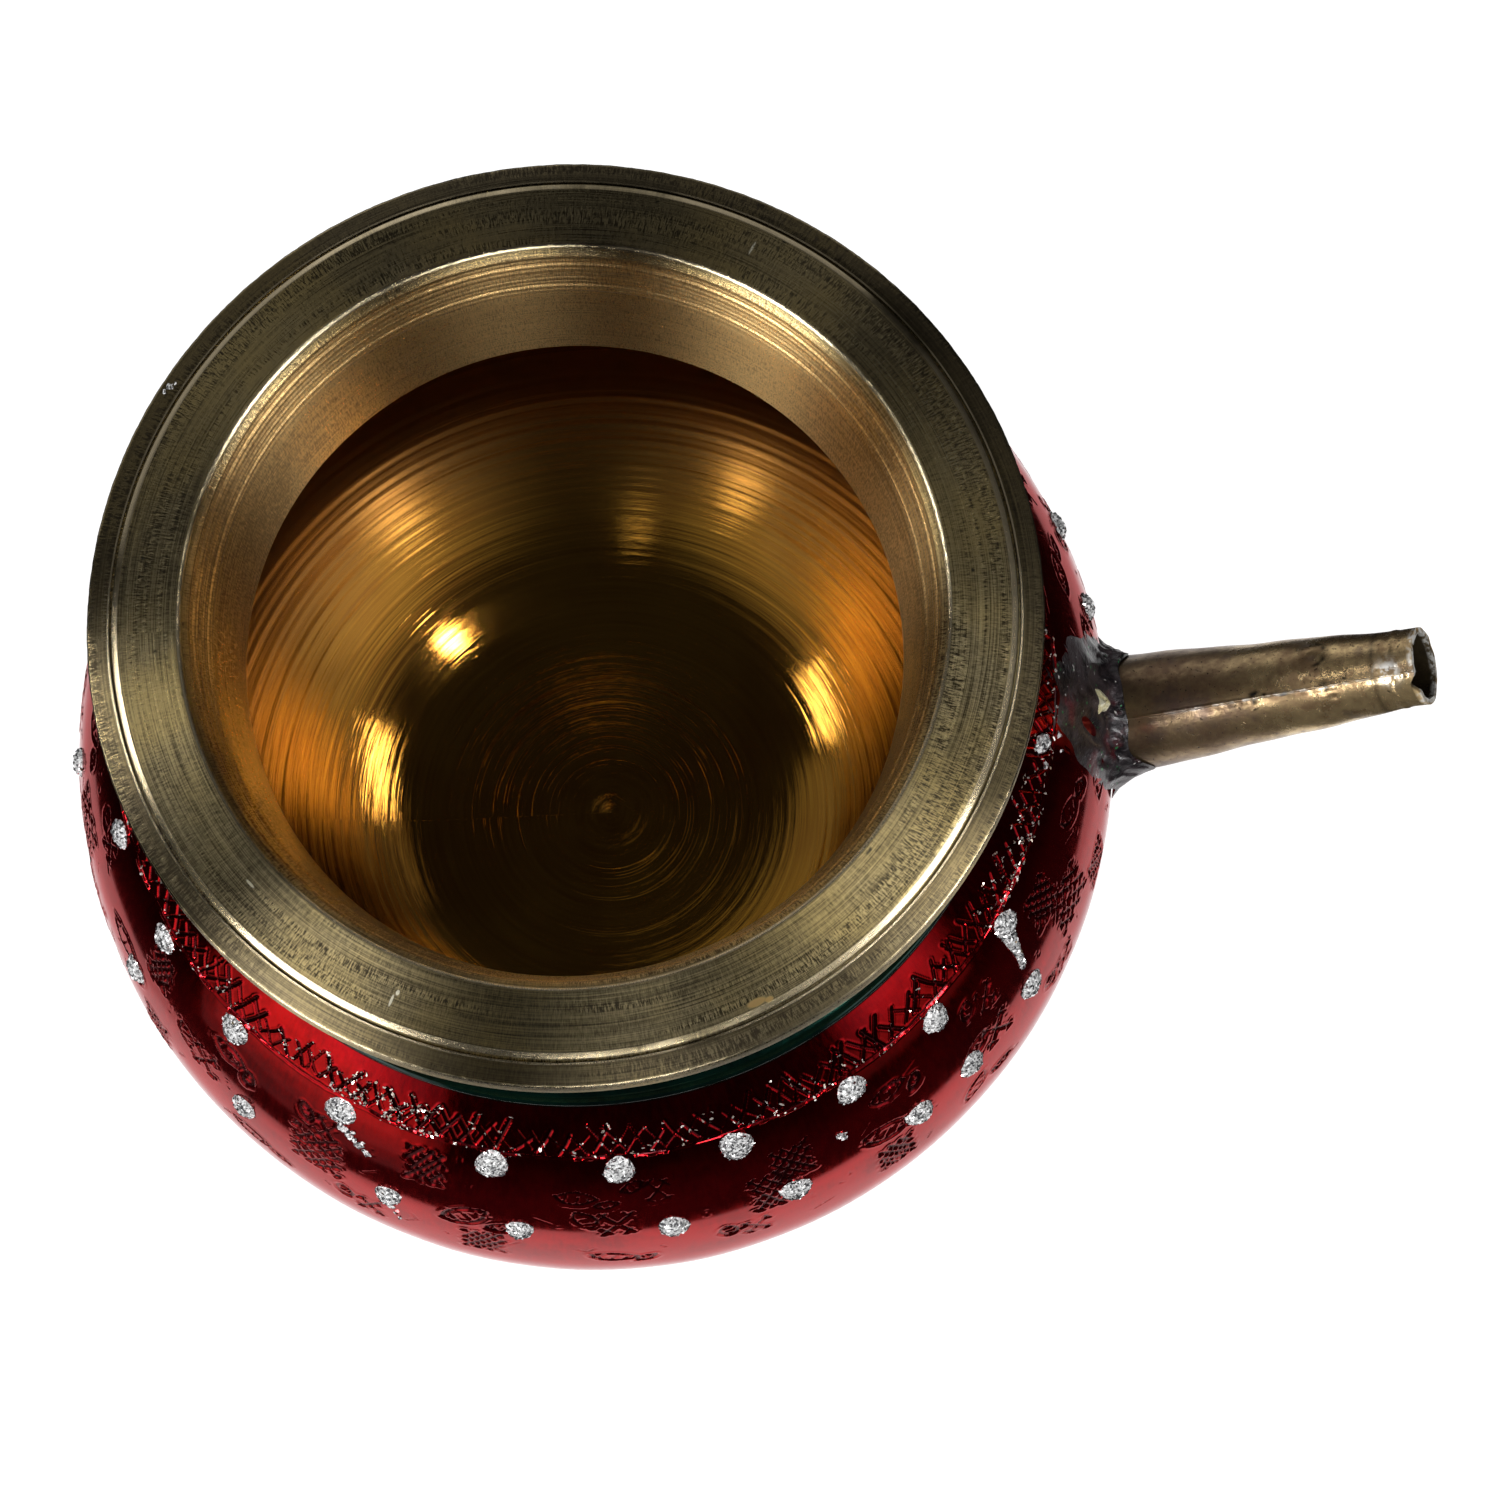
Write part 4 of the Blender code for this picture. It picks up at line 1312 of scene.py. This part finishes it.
# Each smear: points as degrees and mm, half widths in mm at them, and thickness.
SMEARS = [([(-32.1, 44.2), (-32.7, 42.2), (-33.1, 40.4), (-33.6, 38.0)], (0.95, 0.7, 0.35, 0.3), 0.4),
          ([(-11.6, 47.3), (-10.4, 46.9), (-9.2, 46.0)], (0.3, 0.8, 0.5), 0.5)]
# Each drop: degrees, height and radius in mm, and on the rim the distance from the axis.
FLECKS = [(-121.2, 42.0, 0.50), (-120.4, 41.5, 0.42), (-119.6, 41.1, 0.30), (-118.9, 40.8, 0.36),
          (-117.9, 40.2, 0.32), (-120.0, 42.0, 0.22), (-118.6, 41.3, 0.18), (-114.8, 32.3, 0.30),
          (-114.2, 31.0, 0.22), (-113.8, 29.9, 0.18), (-62.3, 39.4, 0.42), (-62.0, 38.8, 0.28),
          (-8.1, 44.6, 0.30), (-12.4, 45.9, 0.26), (-9.8, 44.0, 0.2)]
RIM_FLECKS = [(146.2, rim_mm - 1.3, 0.34, 35.2), (147.1, rim_mm - 1.35, 0.24, 35.4),
              (145.5, rim_mm - 1.25, 0.2, 35.0)]


def all_domes():
    parts = [dot_dome(*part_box(node), number) for number, node in enumerate(dot_nodes)]
    parts += [smear(*one) for one in SMEARS] + [fleck(*one) for one in FLECKS + RIM_FLECKS]
    verts = []
    faces = []
    for points, quads in parts:
        faces += [tuple(k + len(verts) for k in quad) for quad in quads]
        verts += points
    return verts, faces


dots = add_piece("glitter_dots", *all_domes(), GLITTER_PAINT)
print("dome triangles:", 2 * len(dots.data.polygons))

# %% [markdown]
# ## Flakes
# Thousands of flakes lie in the paint at all angles. Geometry Nodes scatters six-sided faces over the
# domes, tilts each one by chance and stores a random value on it for the material. Real faces glint one by
# one when the view changes, which a texture on the dome does not do.


# %% Flakes
def scatter_nodes(name, seed, corners, tilt, size, lip="", mark=""):
    """A tree that strews small flat faces over a mesh, each tilted and sized by chance. `lip` names an
    attribute that says where they lie, and `mark` one that keeps a random value on each face."""
    made = Nodes(name, {"Density": "NodeSocketFloat", "Flake": "NodeSocketFloat",
                        "Finish": "NodeSocketMaterial"})
    source = made.source.outputs
    density = source["Density"]
    if lip:
        share = made.add("GeometryNodeInputNamedAttribute", {"Name": lip}, data_type="FLOAT")
        sharp = made.add("ShaderNodeMath", {0: share.outputs[0], 1: 3.0}, operation="POWER")
        thick = made.add("ShaderNodeMath", {0: sharp.outputs[0], 1: density}, operation="MULTIPLY")
        density = thick.outputs[0]
    points = made.add("GeometryNodeDistributePointsOnFaces",
                      {"Mesh": source["Geometry"], "Density": density, "Seed": seed})
    lean = made.chance((-tilt, -tilt, -3.1), (tilt, tilt, 3.1), seed + 1)
    turned = made.add("FunctionNodeRotateRotation", {0: points.outputs["Rotation"], 1: lean},
                      rotation_space="LOCAL")
    flake = made.add("GeometryNodeMeshCircle", {"Vertices": corners, "Radius": source["Flake"]},
                     fill_type="NGON")
    copies = made.add("GeometryNodeInstanceOnPoints",
                      {"Points": points.outputs[0], "Instance": flake.outputs[0],
                       "Rotation": turned.outputs[0], "Scale": made.chance(*size, seed + 2)})
    shape = copies.outputs[0]
    if mark:
        feeds = {"Geometry": shape, "Name": mark, "Value": made.chance(0.0, 1.0, seed + 4)}
        shape = made.add("GeometryNodeStoreNamedAttribute", feeds,
                         data_type="FLOAT", domain="INSTANCE").outputs[0]
    flat = made.add("GeometryNodeRealizeInstances", {0: shape})
    done = made.add("GeometryNodeSetMaterial", {"Geometry": flat.outputs[0], "Material": source["Finish"]})
    made.add("NodeGroupOutput", {0: done.outputs[0]})
    return made


glitter = scatter_nodes("glitter", seed=4, corners=6, tilt=0.85, size=(0.6, 1.25), mark="flake")
flakes = add_object("glitter_flakes", dots.data.copy())
glitter.run(flakes, {"Density": 1.9e7, "Flake": 0.16 * MM, "Finish": SILVER_FLAKE})
for piece in (dots, flakes):
    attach(piece, "root")
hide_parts(*dot_nodes)
print("flake triangles:", sum(len(p.vertices) - 2 for p in flakes.data.polygons))

# %% [markdown]
# ## Slivers of bare metal
# The lips of the crossed band carry tiny slivers of bare brass. The band's mesh knows where its lips are,
# so the same tree scatters narrow facets there, thinly all round and thickly at two sides where the lamps
# glint on them, which is a painted highlight.

# %% Slivers
SLIVER_SIZES = ((0.4, 0.3, 0.4), (1.5, 0.8, 1.0))
glints = scatter_nodes("slivers", seed=14, corners=5, tilt=0.35, size=SLIVER_SIZES, lip="lip")
slivers = add_object("cut_slivers", band.data.copy())
glints.run(slivers, {"Density": 2.4e7, "Flake": 0.18 * MM, "Finish": BARE_METAL})
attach(slivers, "root")
print("sliver triangles:", sum(len(p.vertices) - 2 for p in slivers.data.polygons))

# %% [markdown]
# ## Floor
# The pot stands on a round white stand, with a white sheet far below. Their material is white to the camera
# and in mirrors, by Light Path, and an ordinary grey paper for light, so the background is white without
# any more light on the pot. The belly mirrors the stand, whose edge is the border of its pale red zone.

# %% Floor
STAND_R = 69.5
STAND_AT = (-0.6, 2.9)    # the middle of the stand, in mm
STAND_TOP = -0.05         # mm, just clear of the foot
STAND_SIDES = 180
PAPER = 0.3               # how much light the stand and the sheet give back
STAND_DROP = 0.6          # metres from the stand down to the sheet
SHEET_MARGIN = 1.06       # of the sheet, beyond what the camera sees


def white_sheet(name, glow_strength):
    """Plain paper that also glows, but only for the camera and in mirrors."""
    made = bpy.data.materials.new(name)
    made.use_nodes = True
    tree = made.node_tree
    tree.nodes.clear()
    path = add_node(tree, "ShaderNodeLightPath")
    rays = [Wire(tree, path.outputs[f"Is {kind} Ray"]) for kind in ("Camera", "Glossy", "Transmission")]
    shown = rays[0].maths("MAXIMUM", rays[1]).maths("MAXIMUM", rays[2])
    glow = shown.node("ShaderNodeEmission", {"Color": rgb(1, 1, 1), "Strength": shown * glow_strength})
    paper = shown.node("ShaderNodeBsdfDiffuse", {"Color": rgb(PAPER, PAPER, PAPER)})
    both = shown.node("ShaderNodeAddShader", {0: glow, 1: paper})
    add_node(tree, "ShaderNodeOutputMaterial", {"Surface": both})
    return made


def round_stand():
    verts = [((STAND_AT[0] + STAND_R * math.cos(a)) * MM, (STAND_AT[1] + STAND_R * math.sin(a)) * MM,
              STAND_TOP * MM) for a in np.linspace(0, 2 * math.pi, STAND_SIDES, endpoint=False)]
    return add_piece("round_stand", verts, [tuple(range(STAND_SIDES))], white_sheet("white stand", 0.88))


def floor_sheet():
    """A sheet far below the stand, just larger than what the camera sees of it."""
    place = scene.camera.matrix_world
    half = SHEET_MARGIN * 0.5 * SENSOR / CAMERA_LENS
    verts = []
    for x, y in ((-half, -half), (half, -half), (half, half), (-half, half)):
        way = place.to_3x3() @ Vector((x, y, -1.0))
        verts.append(place.translation + way * ((-STAND_DROP - place.translation.z) / way.z))
    print("sheet corners in mm:", [[round(c / MM) for c in v] for v in verts])
    return add_piece("floor_sheet", verts, [(0, 1, 2, 3)], white_sheet("white sheet", 1.0))


round_stand()
floor_sheet()
print("stand radius in mm:", STAND_R)

# %% [markdown]
# ## Lamps
# Polished metal shows what stands round it, so each lamp has its place from where the pot mirrors it. Small
# ones high up are the bright spots in the bowl. Wide ones lower down light sectors of the turned rim. Tall
# soft panels low at the sides are the red zones of the belly. Panels are made of nested lamps, because one
# area lamp would have a hard edge in the lacquer.


# %% Lamps
AIM = 0.04            # metres above the floor, where the lamps point
PANEL_MIDDLE = 0.045  # metres above the floor, from where a panel's degrees are counted
PANEL_AWAY = 0.5      # metres


def photo_angle(degrees):
    """Radians round the pot for degrees in the photograph, where the spout points a little to the front."""
    return math.radians(degrees) + VIEW_TURN


def lamp(name, azimuth, elevation, distance, size, power, shape="ELLIPSE"):
    data = bpy.data.lights.new(name, "AREA")
    data.shape = shape
    data.size, data.size_y = size
    data.energy = power
    made = add_object(name, data)
    up = math.radians(elevation)
    way = round_point(math.cos(up), photo_angle(azimuth), math.sin(up))
    made.location = Vector((0, 0, AIM)) + way * distance
    made.rotation_euler = (-way).to_track_quat("-Z", "Y").to_euler()
    return made


def panel(name, azimuth, low, high, wide, strength, layers):
    """A tall soft panel half a metre away, given by what the pot sees of it in degrees.
    It is made of nested layers, so its edges fade."""
    for layer in range(layers):
        inset = layer / (layers - 1)
        away = PANEL_AWAY + 0.004 * layer
        foot = PANEL_MIDDLE + away * math.tan(math.radians(low * (1.15 - 0.9 * inset)))
        top = PANEL_MIDDLE + away * math.tan(math.radians(high - 8.0 * inset))
        across = 2 * away * math.tan(math.radians(0.5 * wide * (1.6 - 1.2 * inset)))
        power = math.pi * strength / layers * across * (top - foot)
        made = lamp(name, azimuth, 0.0, away, (across, top - foot), power, "RECTANGLE")
        made.location.z = 0.5 * (top + foot)


# Each lamp: degrees round the pot, degrees up, metres away, size in metres and power in watts.
LAMPS = [("small_right", -40.0, 69.0, 0.8, (0.04, 0.055), 0.30),
         ("small_back_right", 5.0, 61.0, 0.8, (0.20, 0.026), 0.21),
         ("small_back_left", 166.0, 58.5, 0.8, (0.16, 0.026), 0.14),
         ("front_left", -150.0, 34.0, 0.7, (0.28, 0.11), 3.4),
         ("front", -93.0, 34.0, 0.7, (0.24, 0.12), 1.2),
         ("left_side", 162.0, 35.5, 0.7, (0.20, 0.06), 0.95),
         ("front_right", -37.0, 35.0, 0.7, (0.24, 0.16), 2.2),
         ("left_high", -139.0, 47.0, 0.6, (0.06, 0.04), 0.030),
         ("right_high", -58.0, 47.0, 0.6, (0.08, 0.05), 0.050),
         ("left_inner", -118.0, 59.0, 0.8, (0.06, 0.03), 0.004),
         ("back_right_soft", 24.0, 64.0, 0.8, (0.30, 0.08), 0.009),
         ("dim_back", 115.0, 63.0, 0.8, (0.5, 0.2), 0.035)]
# Each panel: degrees round the pot, lowest and highest degree, width in degrees, brightness and layers.
PANELS = [("left_panel", -149.0, -36.0, 12.0, 26.0, 1.7, 6),
          ("right_panel", -51.0, -23.0, 12.0, 15.0, 1.05, 6),
          ("back_panel", 95.0, -5.0, 32.0, 60.0, 0.8, 2)]
for one in LAMPS:
    lamp(*one)
for one in PANELS:
    panel(*one)
print("lamps:", len(LAMPS), "panels:", len(PANELS))

# %% [markdown]
# ## The room
# The bowl also mirrors the room: a dark ceiling above, pale walls at the sides and a dark place in front.
# One grey would leave the wall of the bowl flat, so the world is brighter in a belt above the horizon, by
# the height of the direction, and at three sides of it, by its angle.

# %% Room
DARK_GLOW = 0.014     # of the ceiling and the front
WALL_GLOW = 0.17
# Each bright side: degrees round the pot, how narrow it is, and how bright.
BRIGHT_SIDES = [(-45.0, 8.0, 0.52), (-150.0, 14.0, 0.20)]


def dim_room():
    made = bpy.data.worlds.new("dim room")
    made.use_nodes = True
    tree = made.node_tree
    x, y, z = Wire(tree, add_node(tree, "ShaderNodeTexCoord").outputs["Generated"]).split()
    flat = (1.0 - z * z) ** 0.5

    def facing(degrees):
        turned = photo_angle(degrees)
        return (x * math.cos(turned) + y * math.sin(turned)) / flat

    wall = z.ramp(0.42, 0.62) * z.ramp(0.90, 0.78)
    front = facing(-90.0)
    glow = (1.0 - front * front) * WALL_GLOW
    for degrees, narrow, strength in BRIGHT_SIDES:
        glow = glow + facing(degrees).maths("MAXIMUM", 0.0) ** narrow * strength
    background = tree.nodes["Background"]
    background.inputs["Color"].default_value = rgb(1, 1, 1)
    tree.links.new((wall * glow + DARK_GLOW).socket, background.inputs["Strength"])
    return made


scene.world = dim_room()
print("world:", scene.world.name)
